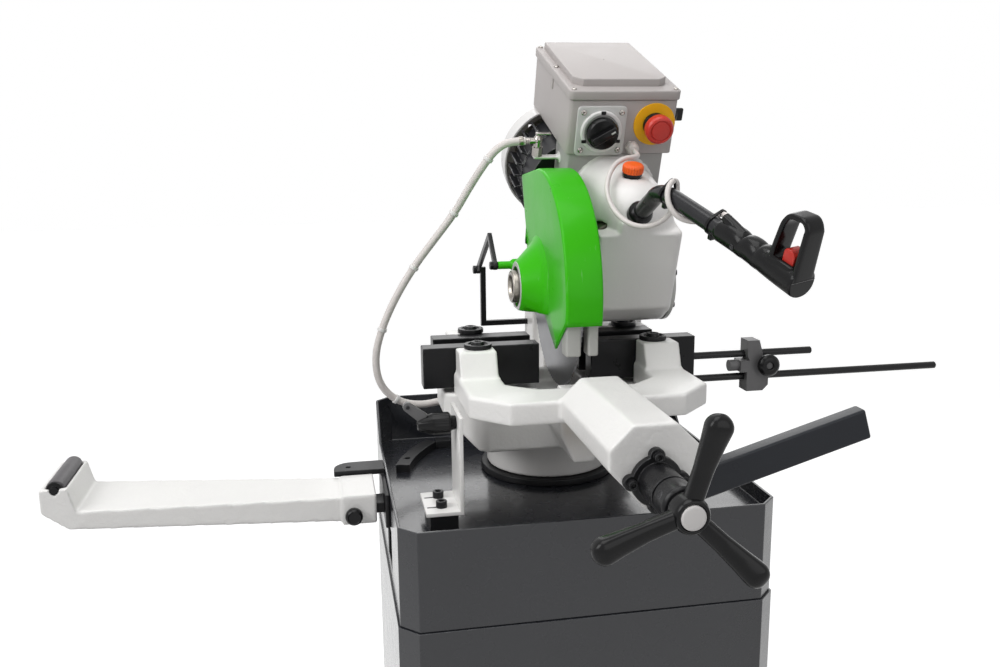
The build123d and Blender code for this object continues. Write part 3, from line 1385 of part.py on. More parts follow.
def main_switch_knob():
    """Black rotary knob with a raised bar."""
    back = BOX_U[0] - SWITCH_PLATE - SWITCH_RING - LIFT
    face = back - SWITCH_KNOB
    body = rod((SWITCH_X, face, SWITCH_W), (SWITCH_X, back, SWITCH_W), SWITCH_KNOB_R)
    half = SWITCH_BAR_HALF_X
    bar = box((-half, half), (face - SWITCH_BAR, face), (-SWITCH_BAR_HALF, SWITCH_BAR_HALF))
    body += Pos(SWITCH_X, 0, SWITCH_W) * Rot(0, -SWITCH_TURN, 0) * bar
    stem_end = BOX_U[0] + BOX_WALL
    return HEAD * (body + rod((SWITCH_X, back, SWITCH_W), (SWITCH_X, stem_end, SWITCH_W), STEM_R))


def estop_plate():
    """Plain yellow disc with the collar of the stop button."""
    face = BOX_U[0] - ESTOP_PLATE
    body = rod((ESTOP_X, face, ESTOP_W), (ESTOP_X, BOX_U[0], ESTOP_W), ESTOP_DISC_R)
    start = (ESTOP_X, face - ESTOP_COLLAR, ESTOP_W)
    body += rod(start, (ESTOP_X, face, ESTOP_W), ESTOP_COLLAR_R)
    return HEAD * (body - rod(start, (ESTOP_X, BOX_U[0], ESTOP_W), ESTOP_STEM_R + RUN))


def estop_button():
    """Red mushroom button on a stem."""
    back = BOX_U[0] - ESTOP_PLATE - ESTOP_COLLAR - ESTOP_TRAVEL - LIFT
    body = rod((ESTOP_X, back - ESTOP_HEAD, ESTOP_W), (ESTOP_X, back, ESTOP_W), ESTOP_R)
    body = fillet(body.edges().sort_by(Axis.Y)[0], ESTOP_FILLET)
    stem_end = BOX_U[0] + BOX_WALL
    return HEAD * (body + rod((ESTOP_X, back, ESTOP_W), (ESTOP_X, stem_end, ESTOP_W), ESTOP_STEM_R))


def selector_knob():
    """Small knob on the right side of the box."""
    start = BOX_X[1] + LIFT
    face = start + SELECTOR_BASE
    body = rod((start, SELECTOR_U, SELECTOR_W), (face, SELECTOR_U, SELECTOR_W), SELECTOR_R)
    half_u, half_w = SELECTOR_WING_HALF
    wing_u = (SELECTOR_U - half_u, SELECTOR_U + half_u)
    body += box((face, face + SELECTOR_WING), wing_u, (SELECTOR_W - half_w, SELECTOR_W + half_w))
    stem_end = BOX_X[1] - BOX_WALL
    return HEAD * (body + rod((stem_end, SELECTOR_U, SELECTOR_W), (start, SELECTOR_U, SELECTOR_W), STEM_R))


def filler_cap():
    """Orange screw cap on the dome."""
    seat = DOME_W + DOME_R
    low = seat + LIFT
    top = low + FILLER_HEIGHT
    body = rod((FILLER_X, FILLER_U, low), (FILLER_X, FILLER_U, top), FILLER_R)
    neck = (FILLER_X, FILLER_U, seat - FILLER_NECK)
    return HEAD * (body + rod(neck, (FILLER_X, FILLER_U, low), FILLER_NECK_R))


def coolant_valve():
    """Plug valve with a side nipple for the hose."""
    side = (VALVE_X - VALVE_HALF, VALVE_X + VALVE_HALF)
    depth = (VALVE_U - VALVE_HALF, VALVE_U + VALVE_HALF)
    body = box(side, depth, (VALVE_SEAT, VALVE_SEAT + VALVE_FOOT))
    body += rod((VALVE_X, VALVE_U, VALVE_SEAT), (VALVE_X, VALVE_U, VALVE_TOP), VALVE_HALF)
    body += rod((VALVE_X, VALVE_U, NIPPLE_W), (NIPPLE_X, VALVE_U, NIPPLE_W), NIPPLE_R)
    bore = (VALVE_X, VALVE_U, VALVE_TOP - VALVE_PIN)
    return HEAD * (body - rod(bore, (VALVE_X, VALVE_U, VALVE_TOP), VALVE_PIN_R + RUN))


def coolant_lever():
    """Small lever on top of the valve."""
    low = VALVE_TOP + LIFT
    x = (VALVE_X + VALVE_LEVER[0], VALVE_X + VALVE_LEVER[1])
    u = (VALVE_U - VALVE_LEVER_HALF, VALVE_U + VALVE_LEVER_HALF)
    body = box(x, u, (low, low + VALVE_LEVER_THICK))
    pin = (VALVE_X, VALVE_U, VALVE_TOP - VALVE_PIN)
    return HEAD * (body + rod(pin, (VALVE_X, VALVE_U, low), VALVE_PIN_R))


def handle_tube():
    """Bent tube from the gear case to the grip."""
    path = FilletPolyline(SOCKET_AT, BEND_AT, GRIP_AT, radius=TUBE_BEND_R)
    rise = Vector(*BEND_AT) - Vector(*SOCKET_AT)
    return HEAD * sweep(Plane(origin=SOCKET_AT, z_dir=rise) * Circle(TUBE_R), path=path)


def grip_plane():
    """Axes along the grip: first along it, then right, then up."""
    along = Vector(*GRIP_END) - Vector(*GRIP_AT)
    return Plane(origin=GRIP_AT, x_dir=along, z_dir=along.cross(Vector(1, 0, 0)))


def handle_grip():
    """Black grip with a guard loop, a cable entry and a pocket for the trigger."""
    length = (Vector(*GRIP_END) - Vector(*GRIP_AT)).length
    taper = (GRIP_TAPER, 0, 0)
    body = cone((-GRIP_SLEEVE, 0, 0), taper, TUBE_R + GRIP_SLEEVE_WALL, GRIP_R)
    body += rod(taper, (length, 0, 0), GRIP_R)
    body = fillet(body.edges().sort_by(Axis.X)[-1], GRIP_FILLET)
    outer = LOOP_OUTER + [(length - inset, h) for inset, h in LOOP_ROOT]
    inner = [(LOOP_INNER_START, GRIP_R)] + LOOP_INNER + [(LOOP_INNER[-1][0], GRIP_R)]
    strap = (-STRAP_HALF_X, STRAP_HALF_X)
    body += prism("Y", strap, outer) - prism("Y", strap, inner)
    entry = (CABLE_ENTRY, 0, GRIP_R - CABLE_ENTRY_SINK)
    body += rod((0, 0, CABLE_LIFT), entry, CABLE_R + CABLE_ENTRY_WALL)
    pocket_s = (TRIGGER_S[0] - GAP, TRIGGER_S[1] + GAP)
    pocket_x = (-TRIGGER_HALF_X - GAP, TRIGGER_HALF_X + GAP)
    body -= box(pocket_s, pocket_x, (TRIGGER_H[0] - TRIGGER_TRAVEL - GAP, GRIP_R))
    tube_room = rod(BEND_AT, GRIP_AT, TUBE_R)
    return HEAD * (grip_plane() * body - tube_room)


def trigger():
    """Red trigger block in the guard loop."""
    block = box(TRIGGER_S, (-TRIGGER_HALF_X, TRIGGER_HALF_X), TRIGGER_H)
    return HEAD * grip_plane() * block


def control_cable():
    """Gland on the box and the cable that winds around the handle tube to the grip."""
    x, w = GLAND_AT
    gland = rod((x, GLAND_FRONT, w), (x, BOX_U[0], w), GLAND_R)
    bend = Vector(*BEND_AT)
    along = (Vector(*GRIP_AT) - bend).normalized()
    up = along.cross(Vector(1, 0, 0)).normalized()
    right = up.cross(along)
    points = [(x, GLAND_FRONT, w)] + CABLE_START
    for angle, distance, lift in CABLE_WRAP:
        turn = radians(angle)
        place = bend + along * distance + (up * cos(turn) + right * sin(turn)) * lift
        points.append(tuple(place))
    return HEAD * Compound(children=[gland, cord("control cable", points, CABLE_R)])


def coolant_hose():
    """Hose from the turntable up to the valve's nipple."""
    start = HEAD.from_local_coords(Vector(NIPPLE_X, VALVE_U, NIPPLE_W))
    end = (PEDESTAL_X[0] - FITTING, HOSE_POINTS[-1][1], HOSE_POINTS[-1][2])
    lead = start - Vector(HOSE_LEAD, 0, 0)
    return cord("coolant hose", [tuple(start), tuple(lead)] + HOSE_POINTS + [end], HOSE_R)


NODES = {
    "stand_cabinet": stand_cabinet,
    "chip_tray": chip_tray,
    "coolant_tank": coolant_tank,
    "coolant_pump": coolant_pump,
    "centre_column": centre_column,
    "vise_base": vise_base,
    "vise_nut": vise_nut,
    "rear_jaws": rear_jaws,
    "rear_jaw_clamps": lambda: jaw_clamps(rear_clamp_spots()),
    "brace_bracket": brace_bracket,
    "mitre_stops": mitre_stops,
    "arm_flange": arm_flange,
    "tray_screws": tray_screws,
    "brace_lever": brace_lever,
    "mitre_lever": mitre_lever,
    "support_arm": support_arm,
    "support_roller": support_roller,
    "arm_knob": arm_knob,
    "vise_slide": vise_slide,
    "screw_flange": screw_flange,
    "front_jaw_clamps": lambda: jaw_clamps(front_clamp_spots()),
    "front_jaws": front_jaws,
    "stop_rods": stop_rods,
    "stop_block": stop_block,
    "stop_knob": stop_knob,
    "vise_screw": vise_screw,
    "screw_collar": screw_collar,
    "handwheel": handwheel,
    "handwheel_cap": handwheel_cap,
    "turntable": turntable,
    "hinge_pin": hinge_pin,
    "guard_rod": guard_rod,
    "return_spring": return_spring,
    "gear_case": gear_case,
    "gear_case_cover": gear_case_cover,
    "motor_housing": motor_housing,
    "fan_cover": fan_cover,
    "hood": hood,
    "chip_deflectors": chip_deflectors,
    "box_base": box_base,
    "box_lid": box_lid,
    "handle_tube": handle_tube,
    "handle_grip": handle_grip,
    "coolant_valve": coolant_valve,
    "spindle_bearings": spindle_bearings,
    "control_cable": control_cable,
    "switch_plate": switch_plate,
    "estop_plate": estop_plate,
    "spindle": spindle,
    "blade": blade,
    "worm_wheel": worm_wheel,
    "motor_rotor": motor_rotor,
    "main_switch_knob": main_switch_knob,
    "estop_button": estop_button,
    "selector_knob": selector_knob,
    "trigger": trigger,
    "coolant_lever": coolant_lever,
    "filler_cap": filler_cap,
    "guard_link": guard_link,
    "coolant_hose": coolant_hose,
}

os.makedirs("parts", exist_ok=True)
for node, make in NODES.items():
    export_step(make(), f"parts/{node}.step")
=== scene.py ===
"""Looks of a manual pull-down cold saw: finishes, modelled pieces, cords, light and camera."""

import json
import logging
import math
from dataclasses import dataclass
from enum import Enum
from typing import Any, ClassVar, Iterable, Optional, Sequence

import bmesh
import bpy
import numpy as np
from mathutils import Matrix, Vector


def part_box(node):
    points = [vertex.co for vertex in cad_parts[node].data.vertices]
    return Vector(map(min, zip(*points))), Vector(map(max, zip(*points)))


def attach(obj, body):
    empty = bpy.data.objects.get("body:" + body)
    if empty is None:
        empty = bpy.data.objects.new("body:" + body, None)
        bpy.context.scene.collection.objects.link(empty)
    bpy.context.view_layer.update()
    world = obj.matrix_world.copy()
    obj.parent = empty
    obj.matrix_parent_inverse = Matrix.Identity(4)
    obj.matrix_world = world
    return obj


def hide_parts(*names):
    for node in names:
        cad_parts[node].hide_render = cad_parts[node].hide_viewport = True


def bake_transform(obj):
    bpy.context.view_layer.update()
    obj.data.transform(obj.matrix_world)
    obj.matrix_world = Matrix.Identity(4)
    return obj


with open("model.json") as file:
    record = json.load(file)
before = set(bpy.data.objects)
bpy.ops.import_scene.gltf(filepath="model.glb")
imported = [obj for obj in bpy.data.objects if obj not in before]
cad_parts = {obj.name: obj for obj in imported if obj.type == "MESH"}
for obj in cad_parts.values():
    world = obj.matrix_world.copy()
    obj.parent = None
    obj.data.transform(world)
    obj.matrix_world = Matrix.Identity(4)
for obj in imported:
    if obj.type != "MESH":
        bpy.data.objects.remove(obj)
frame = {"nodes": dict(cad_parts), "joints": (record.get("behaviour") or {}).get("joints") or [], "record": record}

LOG = logging.getLogger("cold_saw")
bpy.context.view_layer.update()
BODY_OF = {node: body for body, nodes in frame["record"]["behaviour"]["bodies"].items() for node in nodes}
JOINTS = {joint["name"]: joint for joint in frame["joints"]}
FULL_TURN = 2 * math.pi
QUARTER_TURN = math.pi / 2
# Radius at which a profile stops short of its own axis.
AXIS = 0.0002
# Longest share of a run that the rounding of one corner takes.
CORNER_SHARE = 0.45
# Rounding of a turned profile, and angle in degrees from which an edge is sharp.
SOFT = 0.0006
SHARP = 40.0
# Share of a unit vector along an axis from which another axis is used to square it.
UPRIGHT = 0.9
SIDEWAYS = 0.8
# Distances within which points are merged, in new shells and in solids.
SHELL_WELD = 1e-7
SOLID_WELD = 2e-6
# Pivots of the guard's link in (y, z): on the hood's lug and on the guard bar.
LINK_LUG = (-0.015, 1.099)
LINK_FOOT = (0.133, 1.074)
# Coarse noise of a grain: its share of the scale, and its weight.
COARSE_SCALE = 0.18
COARSE_WEIGHT = 1.6
# Rubbed edges and painted edge highlights: gain of the bend, and scale, level and gain of the noise that breaks
# them.
BEND_GAIN = 9.0
BREAK_SCALE = 95.0
BREAK_LEVEL = 0.42
BREAK_GAIN = 5.0
# Scratches: stretch of their noise, and the level above which they show.
SCRATCH_STRETCH = (260.0, 160.0, 16.0)
SCRATCH_LEVEL = 0.70
WHITE = (1.0, 1.0, 1.0, 1.0)
Thing = bpy.types.Object
Mesh = bpy.types.Mesh
Pair = tuple[float, float]
Colour = Place = Sizes = tuple[float, float, float]
Route = ClassVar[tuple[Place, ...]]


def unit(vector: Sequence[float]) -> np.ndarray:
    """Vector of length 1 along another one."""
    vector = np.asarray(vector, float)
    return vector / np.linalg.norm(vector)


def node_box(node: str) -> tuple[np.ndarray, np.ndarray]:
    """Lowest and highest corner of a node, as arrays."""
    low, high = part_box(node)
    return np.array(low), np.array(high)


def joint_at(name: str) -> np.ndarray:
    """Place of a joint at rest, as an array."""
    return np.array(JOINTS[name]["pos_m"])


@dataclass(frozen=True)
class Axes:
    """Origin and three directions in which a shape is worked out before it is placed."""

    origin: np.ndarray
    a: np.ndarray
    b: np.ndarray
    c: np.ndarray

    def place(self, local: Any) -> np.ndarray:
        """Row-frame points: origin + a x + b y + c z."""
        return self.origin + np.asarray(local, float) @ np.stack([self.a, self.b, self.c])

    def ordered(self, order: str) -> "Axes":
        """The same axes taken in another order, such as "acb"."""
        return Axes(self.origin, *[getattr(self, letter) for letter in order])


X, Y, Z = np.eye(3)
ROW = Axes(np.zeros(3), X, Y, Z)
BACK = unit(JOINTS["motor_spin"]["axis"])
HEAD = Axes(joint_at("spindle_spin"), X, BACK, np.cross(X, BACK))


@dataclass
class Shell:
    """Vertices and faces of one surface, in metres."""

    points: np.ndarray
    faces: list

    def clipped(self, axis: int, low: float) -> "Shell":
        """The shell with every point below a plane lifted onto it."""
        lifted = np.where(np.arange(3) == axis, np.maximum(self.points, low), self.points)
        return Shell(lifted, self.faces)


def grid_shell(rows: np.ndarray, closed: bool = True, capped: bool = True) -> Shell:
    """Quads between the rows of a grid of points.

    Args:
        rows: Points as (row, column, 3).
        closed: Whether the last column joins the first.
        capped: Whether the first and last row are filled with one face.

    Returns:
        The shell.
    """
    count, wide = rows.shape[:2]
    row, column = np.meshgrid(np.arange(count - 1), np.arange(wide if closed else wide - 1), indexing="ij")
    after = (column + 1) % wide
    corners = [row * wide + column, row * wide + after, (row + 1) * wide + after, (row + 1) * wide + column]
    faces = np.stack(corners, -1).reshape(-1, 4).tolist()
    if capped:
        faces.append(list(range(wide))[::-1])
        faces.append(list(range((count - 1) * wide, count * wide)))
    return Shell(rows.reshape(-1, 3), faces)


def softened(points: Any, radius: float, closed: bool = False, steps: int = 4) -> np.ndarray:
    """Outline with each corner p replaced by the curve (1-t)^2 q + 2t(1-t) p + t^2 r.

    Args:
        points: Corners of the outline.
        radius: Distance from a corner at which its curve starts, less where a run is short.
        closed: Whether the outline is a loop.
        steps: Points in each curve, less one.

    Returns:
        The points of the softened outline.
    """
    points = np.asarray(points, float)
    before = np.roll(points, 1, 0) - points
    after = np.roll(points, -1, 0) - points
    t = np.linspace(0, 1, steps + 1)[:, None]
    parts = []
    for index, corner in enumerate(points):
        if not closed and index in (0, len(points) - 1):
            parts.append(corner[None])
            continue
        runs = [np.linalg.norm(before[index]), np.linalg.norm(after[index])]
        cut = min(radius, CORNER_SHARE * min(runs))
        start = corner + before[index] / runs[0] * cut
        end = corner + after[index] / runs[1] * cut
        parts.append((1 - t) ** 2 * start + 2 * t * (1 - t) * corner + t**2 * end)
    return np.concatenate(parts)


def circle(sides: int) -> np.ndarray:
    """Points (cos t, sin t) evenly spaced round a circle of radius 1."""
    angle = np.arange(sides) * FULL_TURN / sides
    return np.stack([np.cos(angle), np.sin(angle)], -1)


def turned(
    profile: Any,
    centre: Any,
    axis: Any,
    sides: int = 48,
    lobes: int = 0,
    swell: float = 0.0,
    soft: float = SOFT,
    capped: bool = True,
) -> Shell:
    """Profile turned about an axis: centre + along axis + radius (1 + swell cos(lobes t)) ring(t).

    Args:
        profile: Pairs of (along, radius).
        centre: Where along is 0.
        axis: Direction of the axis.
        sides: Points in a ring.
        lobes: Waves round the ring.
        swell: Height of a wave as a share of the radius.
        soft: Rounding of the profile's corners.
        capped: Whether the ends are filled, which a profile that ends where it starts doesn't need.

    Returns:
        The closed shell.
    """
    profile = softened(profile, soft, steps=3)
    axis = unit(axis)
    side = unit(np.cross(axis, Z if abs(axis[2]) < UPRIGHT else X))
    ring = circle(sides) @ np.stack([side, np.cross(axis, side)])
    wave = 1 + swell * np.cos(lobes * np.arange(sides) * FULL_TURN / sides)
    radius = profile[:, 1, None, None] * wave[None, :, None]
    rows = np.asarray(centre) + profile[:, 0, None, None] * axis + radius * ring[None]
    return grid_shell(rows, capped=capped)


def hollow_ring(profile: list[Pair], centre: Any, axis: Any, sides: int, soft: float = SOFT) -> Shell:
    """Closed profile turned about an axis, with its bore left open."""
    return turned(profile + profile[:1], centre, axis, sides, soft=soft, capped=False)


def carried(path: np.ndarray, section: np.ndarray, size: Any = 1.0, up: Any = Z) -> Shell:
    """Section carried along a path: path(s) + size(s) (x side(s) + y top(s)).

    Args:
        path: Points of the path.
        section: Pairs (x, y) of the closed section.
        size: Scale of the section, one number or an (n, 2) array.
        up: Direction near the top of the section.

    Returns:
        The closed shell.
    """
    along = np.gradient(path, axis=0)
    along /= np.linalg.norm(along, axis=1, keepdims=True)
    side = np.cross(along, up)
    side /= np.linalg.norm(side, axis=1, keepdims=True)
    top = np.cross(side, along)
    size = np.broadcast_to(np.asarray(size, float), (len(path), 2))
    across = section[None, :, 0, None] * size[:, None, :1] * side[:, None]
    return grid_shell(path[:, None] + across + section[None, :, 1, None] * size[:, None, 1:] * top[:, None])


def round_tube(path: np.ndarray, radius: float, sides: int = 16) -> Shell:
    """Round tube path(s) + radius (cos t side(s) + sin t top(s)), whose side turns as little as it can.

    Args:
        path: Points of the path.
        radius: Radius of the tube.
        sides: Points in a ring.

    Returns:
        The closed shell.
    """
    along = np.gradient(path, axis=0)
    along /= np.linalg.norm(along, axis=1, keepdims=True)
    side = np.zeros_like(path)
    side[0] = unit(np.cross(along[0], X if abs(along[0][0]) < SIDEWAYS else Z))
    for index in range(1, len(path)):
        side[index] = unit(side[index - 1] - along[index] * (side[index - 1] @ along[index]))
    pair = circle(sides)
    top = np.cross(along, side)
    ring = pair[None, :, :1] * side[:, None] + pair[None, :, 1:] * top[:, None]
    return grid_shell(path[:, None] + radius * ring)


def oval(power: float, sides: int = 32) -> np.ndarray:
    """Superellipse of half width 1: |x|^power + |y|^power = 1, a circle where power is 2."""
    pair = circle(sides)
    return np.sign(pair) * np.abs(pair) ** (2 / power)


def rounded_prism(outline: Any, span: Pair, edge: float, axes: Axes, corner: float = 0.0) -> Shell:
    """Outline carried along the third axis, drawn in by edge (1 - sin t) over a quarter turn at each end.

    Args:
        outline: Pairs on the first two axes, in order round the loop.
        span: Low and high end on the third axis.
        edge: Radius of the two rims.
        axes: Axes in which the prism is worked out.
        corner: Rounding of the outline's corners.

    Returns:
        The closed shell.
    """
    outline = softened(outline, corner, closed=True) if corner else np.asarray(outline, float)
    ahead = np.roll(outline, -1, 0) - outline
    square = np.stack([ahead[:, 1], -ahead[:, 0]], -1)
    square /= np.linalg.norm(square, axis=1, keepdims=True)
    area = np.sum(outline[:, 0] * np.roll(outline[:, 1], -1) - outline[:, 1] * np.roll(outline[:, 0], -1))
    normal = (square + np.roll(square, 1, 0)) * np.sign(area)
    normal /= np.sum(normal * square * np.sign(area), axis=1, keepdims=True)
    turn = np.linspace(0, QUARTER_TURN, 4)
    inset = edge * (1 - np.sin(turn))
    depth = edge * (1 - np.cos(turn))
    inset = np.concatenate([inset, inset[::-1]])
    level = np.concatenate([span[0] + depth, span[1] - depth[::-1]])
    flat = outline[None] - normal[None] * inset[:, None, None]
    height = np.broadcast_to(level[:, None, None], flat.shape[:2] + (1,))
    return grid_shell(axes.place(np.concatenate([flat, height], -1)))


def rectangle(first: Pair, second: Pair) -> list[Pair]:
    """Corners of a rectangle between a low and a high value on each axis."""
    return [(first[0], second[0]), (first[1], second[0]), (first[1], second[1]), (first[0], second[1])]


def block(first: Pair, second: Pair, span: Pair, edge: float, axes: Axes, corner: float = 0.0) -> Shell:
    """Prism on a rectangle between a low and a high value on each of its axes."""
    return rounded_prism(rectangle(first, second), span, edge, axes, corner)


class Tree:
    """Short ways to add and link shader nodes."""

    def __init__(self, tree: Any) -> None:
        """Keeps the tree that nodes are added to."""
        self.tree = tree

    def feed(self, socket: Any, value: Any) -> None:
        """Links an input to an output socket, or sets it to a value.

        Args:
            socket: The input.
            value: Output socket or plain value.
        """
        if isinstance(value, bpy.types.NodeSocket):
            self.tree.links.new(value, socket)
        else:
            socket.default_value = value

    def fill(self, node: Any, inputs: dict[str, Any]) -> None:
        """Sets or links the inputs of a node by name."""
        for label, value in inputs.items():
            self.feed(node.inputs[label], value)

    def add(self, kind: str, operation: Optional[str] = None, group: Any = None, **inputs: Any) -> Any:
        """Adds a node and sets or links its inputs by name.

        Args:
            kind: Blender's name of the node type.
            operation: Its operation, where it has one.
            group: Node group to place, where it is a group node.
            inputs: Values or sockets for the named inputs.

        Returns:
            The node.
        """
        node = self.tree.nodes.new(kind)
        if operation:
            node.operation = operation
        if group:
            node.node_tree = group
        self.fill(node, inputs)
        return node

    def effect(self, effect: "Effect", place: Any, **inputs: Any) -> Any:
        """Output of a node group that is given a place and its other inputs."""
        return self.add("ShaderNodeGroup", group=effect.group(), Vector=place, **inputs).outputs[0]

    def noise(self, place: Any, scale: Any, detail: float) -> Any:
        """Output of a noise texture."""
        return self.add("ShaderNodeTexNoise", Vector=place, Scale=scale, Detail=detail).outputs[0]

    def math(self, operation: str, *values: Any, clamp: bool = False) -> Any:
        """Adds a math node.

        Args:
            operation: Its operation.
            values: Up to three values or sockets.
            clamp: Whether the result is kept between 0 and 1.

        Returns:
            Its output.
        """
        node = self.tree.nodes.new("ShaderNodeMath")
        node.operation = operation
        node.use_clamp = clamp
        for socket, value in zip(node.inputs, values):
            self.feed(socket, value)
        return node.outputs[0]


def drift_nodes(tree: Tree, given: Any) -> Any:
    """Colour that wanders in value: colour (1 + amount (noise - 0.5)).

    Args:
        tree: Tree of the group.
        given: Outputs of the group's input node.

    Returns:
        The socket that the group puts out.
    """
    centred = tree.math("SUBTRACT", tree.noise(given["Vector"], given["Scale"], 4.0), 0.5)
    share = tree.math("MULTIPLY_ADD", centred, given["Amount"], 1.0)
    scaled = tree.add("ShaderNodeVectorMath", operation="SCALE", Vector=given["Colour"], Scale=share)
    return scaled.outputs[0]


def grain_nodes(tree: Tree, given: Any) -> Any:
    """Height of a fine noise, plus a coarse one times its weight.

    Args:
        tree: Tree of the group.
        given: Outputs of the group's input node.

    Returns:
        The socket that the group puts out.
    """
    fine = tree.noise(given["Vector"], given["Scale"], 2.0)
    wide = tree.math("MULTIPLY", given["Scale"], COARSE_SCALE)
    return tree.math("MULTIPLY_ADD", tree.noise(given["Vector"], wide, 3.0), COARSE_WEIGHT, fine)


def rub_and_highlight_nodes(tree: Tree, given: Any) -> Any:
    """Mask of rubbed edges and painted edge highlights: where a rounded normal leaves the true one, broken by
    noise.

    Args:
        tree: Tree of the group.
        given: Outputs of the group's input node.

    Returns:
        The socket that the group puts out.
    """
    rounded = tree.add("ShaderNodeBevel", Radius=given["Width"])
    rounded.samples = 4
    dot = tree.add("ShaderNodeVectorMath", operation="DOT_PRODUCT")
    tree.feed(dot.inputs[0], rounded.outputs[0])
    tree.feed(dot.inputs[1], tree.add("ShaderNodeNewGeometry").outputs["Normal"])
    bend = tree.math("SUBTRACT", 1.0, dot.outputs["Value"])
    broken = tree.math("SUBTRACT", tree.noise(given["Vector"], BREAK_SCALE, 5.0), BREAK_LEVEL)
    edge, gaps = tree.math("MULTIPLY", bend, BEND_GAIN), tree.math("MULTIPLY", broken, BREAK_GAIN)
    return tree.math("MULTIPLY", tree.math("MULTIPLY", edge, gaps), given["Amount"], clamp=True)


def scuff_nodes(tree: Tree, given: Any) -> Any:
    """Mask of thin upright scratches: a stretched noise above a level.

    Args:
        tree: Tree of the group.
        given: Outputs of the group's input node.

    Returns:
        The socket that the group puts out.
    """
    thin = tree.add("ShaderNodeVectorMath", operation="MULTIPLY", Vector=given["Vector"])
    thin.inputs[1].default_value = SCRATCH_STRETCH
    above = tree.math("SUBTRACT", tree.noise(thin.outputs[0], 1.0, 2.0), SCRATCH_LEVEL)
    return tree.math("MULTIPLY", above, given["Amount"], clamp=True)


class Effect(Enum):
    """Node groups that more than one finish uses: their name, inputs, output and what fills them."""

    DRIFT = ("colour_drift", ("Vector", "Colour", "Scale", "Amount"), "Colour", drift_nodes)
    GRAIN = ("surface_grain", ("Vector", "Scale"), "Height", grain_nodes)
    RUB_AND_HIGHLIGHT = ("edge_wear", ("Vector", "Width", "Amount"), "Mask", rub_and_highlight_nodes)
    SCUFFS = ("scuff_lines", ("Vector", "Amount"), "Mask", scuff_nodes)

    def group(self) -> Any:
        """The effect as a Blender node group, made once.

        Returns:
            The group.
        """
        name, inputs, output, fill = self.value
        made = bpy.data.node_groups.get(name)
        if made:
            return made
        made = bpy.data.node_groups.new(name, "ShaderNodeTree")
        kinds = {"Vector": "NodeSocketVector", "Colour": "NodeSocketColor"}
        for label, way in [(label, "INPUT") for label in inputs] + [(output, "OUTPUT")]:
            made.interface.new_socket(label, in_out=way, socket_type=kinds.get(label, "NodeSocketFloat"))
        tree = Tree(made)
        start, end = tree.add("NodeGroupInput"), tree.add("NodeGroupOutput")
        tree.feed(end.inputs[0], fill(tree, start.outputs))
        return made


@dataclass(frozen=True)
class Finish:
    """Surface of a material: its paint or metal, grain, rubbed edges with painted edge highlights, and gloss."""

    name: str
    slot: str
    colour: Colour
    roughness: float
    metallic: float = 0.0
    specular: float = 0.35
    coat: float = 0.0
    drift: float = 0.16
    drift_scale: float = 16.0
    grain: float = 0.00005
    grain_scale: float = 700.0
    rub_and_highlight: float = 0.0
    wear_width: float = 0.0016
    rubbed_and_highlit_colour: Colour = (0.42, 0.42, 0.42)
    scuffs: float = 0.0
    coat_roughness: float = 0.12
    gloss_spread: float = 0.14

    def material(self) -> bpy.types.Material:
        """The finish as a Blender material, made once.

        Returns:
            The material.
        """
        label = self.name + "_finish"
        found = bpy.data.materials.get(label)
        if found:
            return found
        made = bpy.data.materials.new(label)
        made.use_nodes = True
        tree = Tree(made.node_tree)
        place = tree.add("ShaderNodeTexCoord").outputs["Object"]
        height = tree.effect(Effect.GRAIN, place, Scale=self.grain_scale)
        bump = tree.add("ShaderNodeBump", Height=height, Distance=self.grain, Strength=1.0)
        patches = tree.noise(place, self.drift_scale * 2, 3.0)
        spread = self.gloss_spread
        inputs = {
            "Base Color": self.tinted(tree, place),
            "Metallic": self.metallic,
            "Roughness": tree.math("MULTIPLY_ADD", patches, spread, self.roughness - spread / 2),
            "Normal": bump.outputs[0],
            "Specular IOR Level": self.specular,
            "Coat Weight": self.coat,
            "Coat Roughness": self.coat_roughness,
        }
        tree.fill(made.node_tree.nodes["Principled BSDF"], inputs)
        return made

    def tinted(self, tree: Tree, place: Any) -> Any:
        """Colour with its drift, rubbed edges that also paint edge highlights, and scratches.

        Args:
            tree: Tree of the material.
            place: Socket of the object coordinates.

        Returns:
            The colour's socket.
        """
        paint = (*self.colour, 1.0)
        colour = tree.effect(Effect.DRIFT, place, Colour=paint, Scale=self.drift_scale, Amount=self.drift)
        masks = []
        if self.rub_and_highlight:
            masks.append(tree.effect(Effect.RUB_AND_HIGHLIGHT, place, Width=self.wear_width, Amount=self.rub_and_highlight))
        if self.scuffs:
            masks.append(tree.effect(Effect.SCUFFS, place, Amount=self.scuffs))
        for mask in masks:
            mix = tree.tree.nodes.new("ShaderNodeMix")
            mix.data_type = "RGBA"
            tree.feed(mix.inputs["Factor"], mask)
            tree.feed(mix.inputs[6], colour)
            mix.inputs[7].default_value = (*self.rubbed_and_highlit_colour, 1.0)
            colour = mix.outputs[2]
        return colour


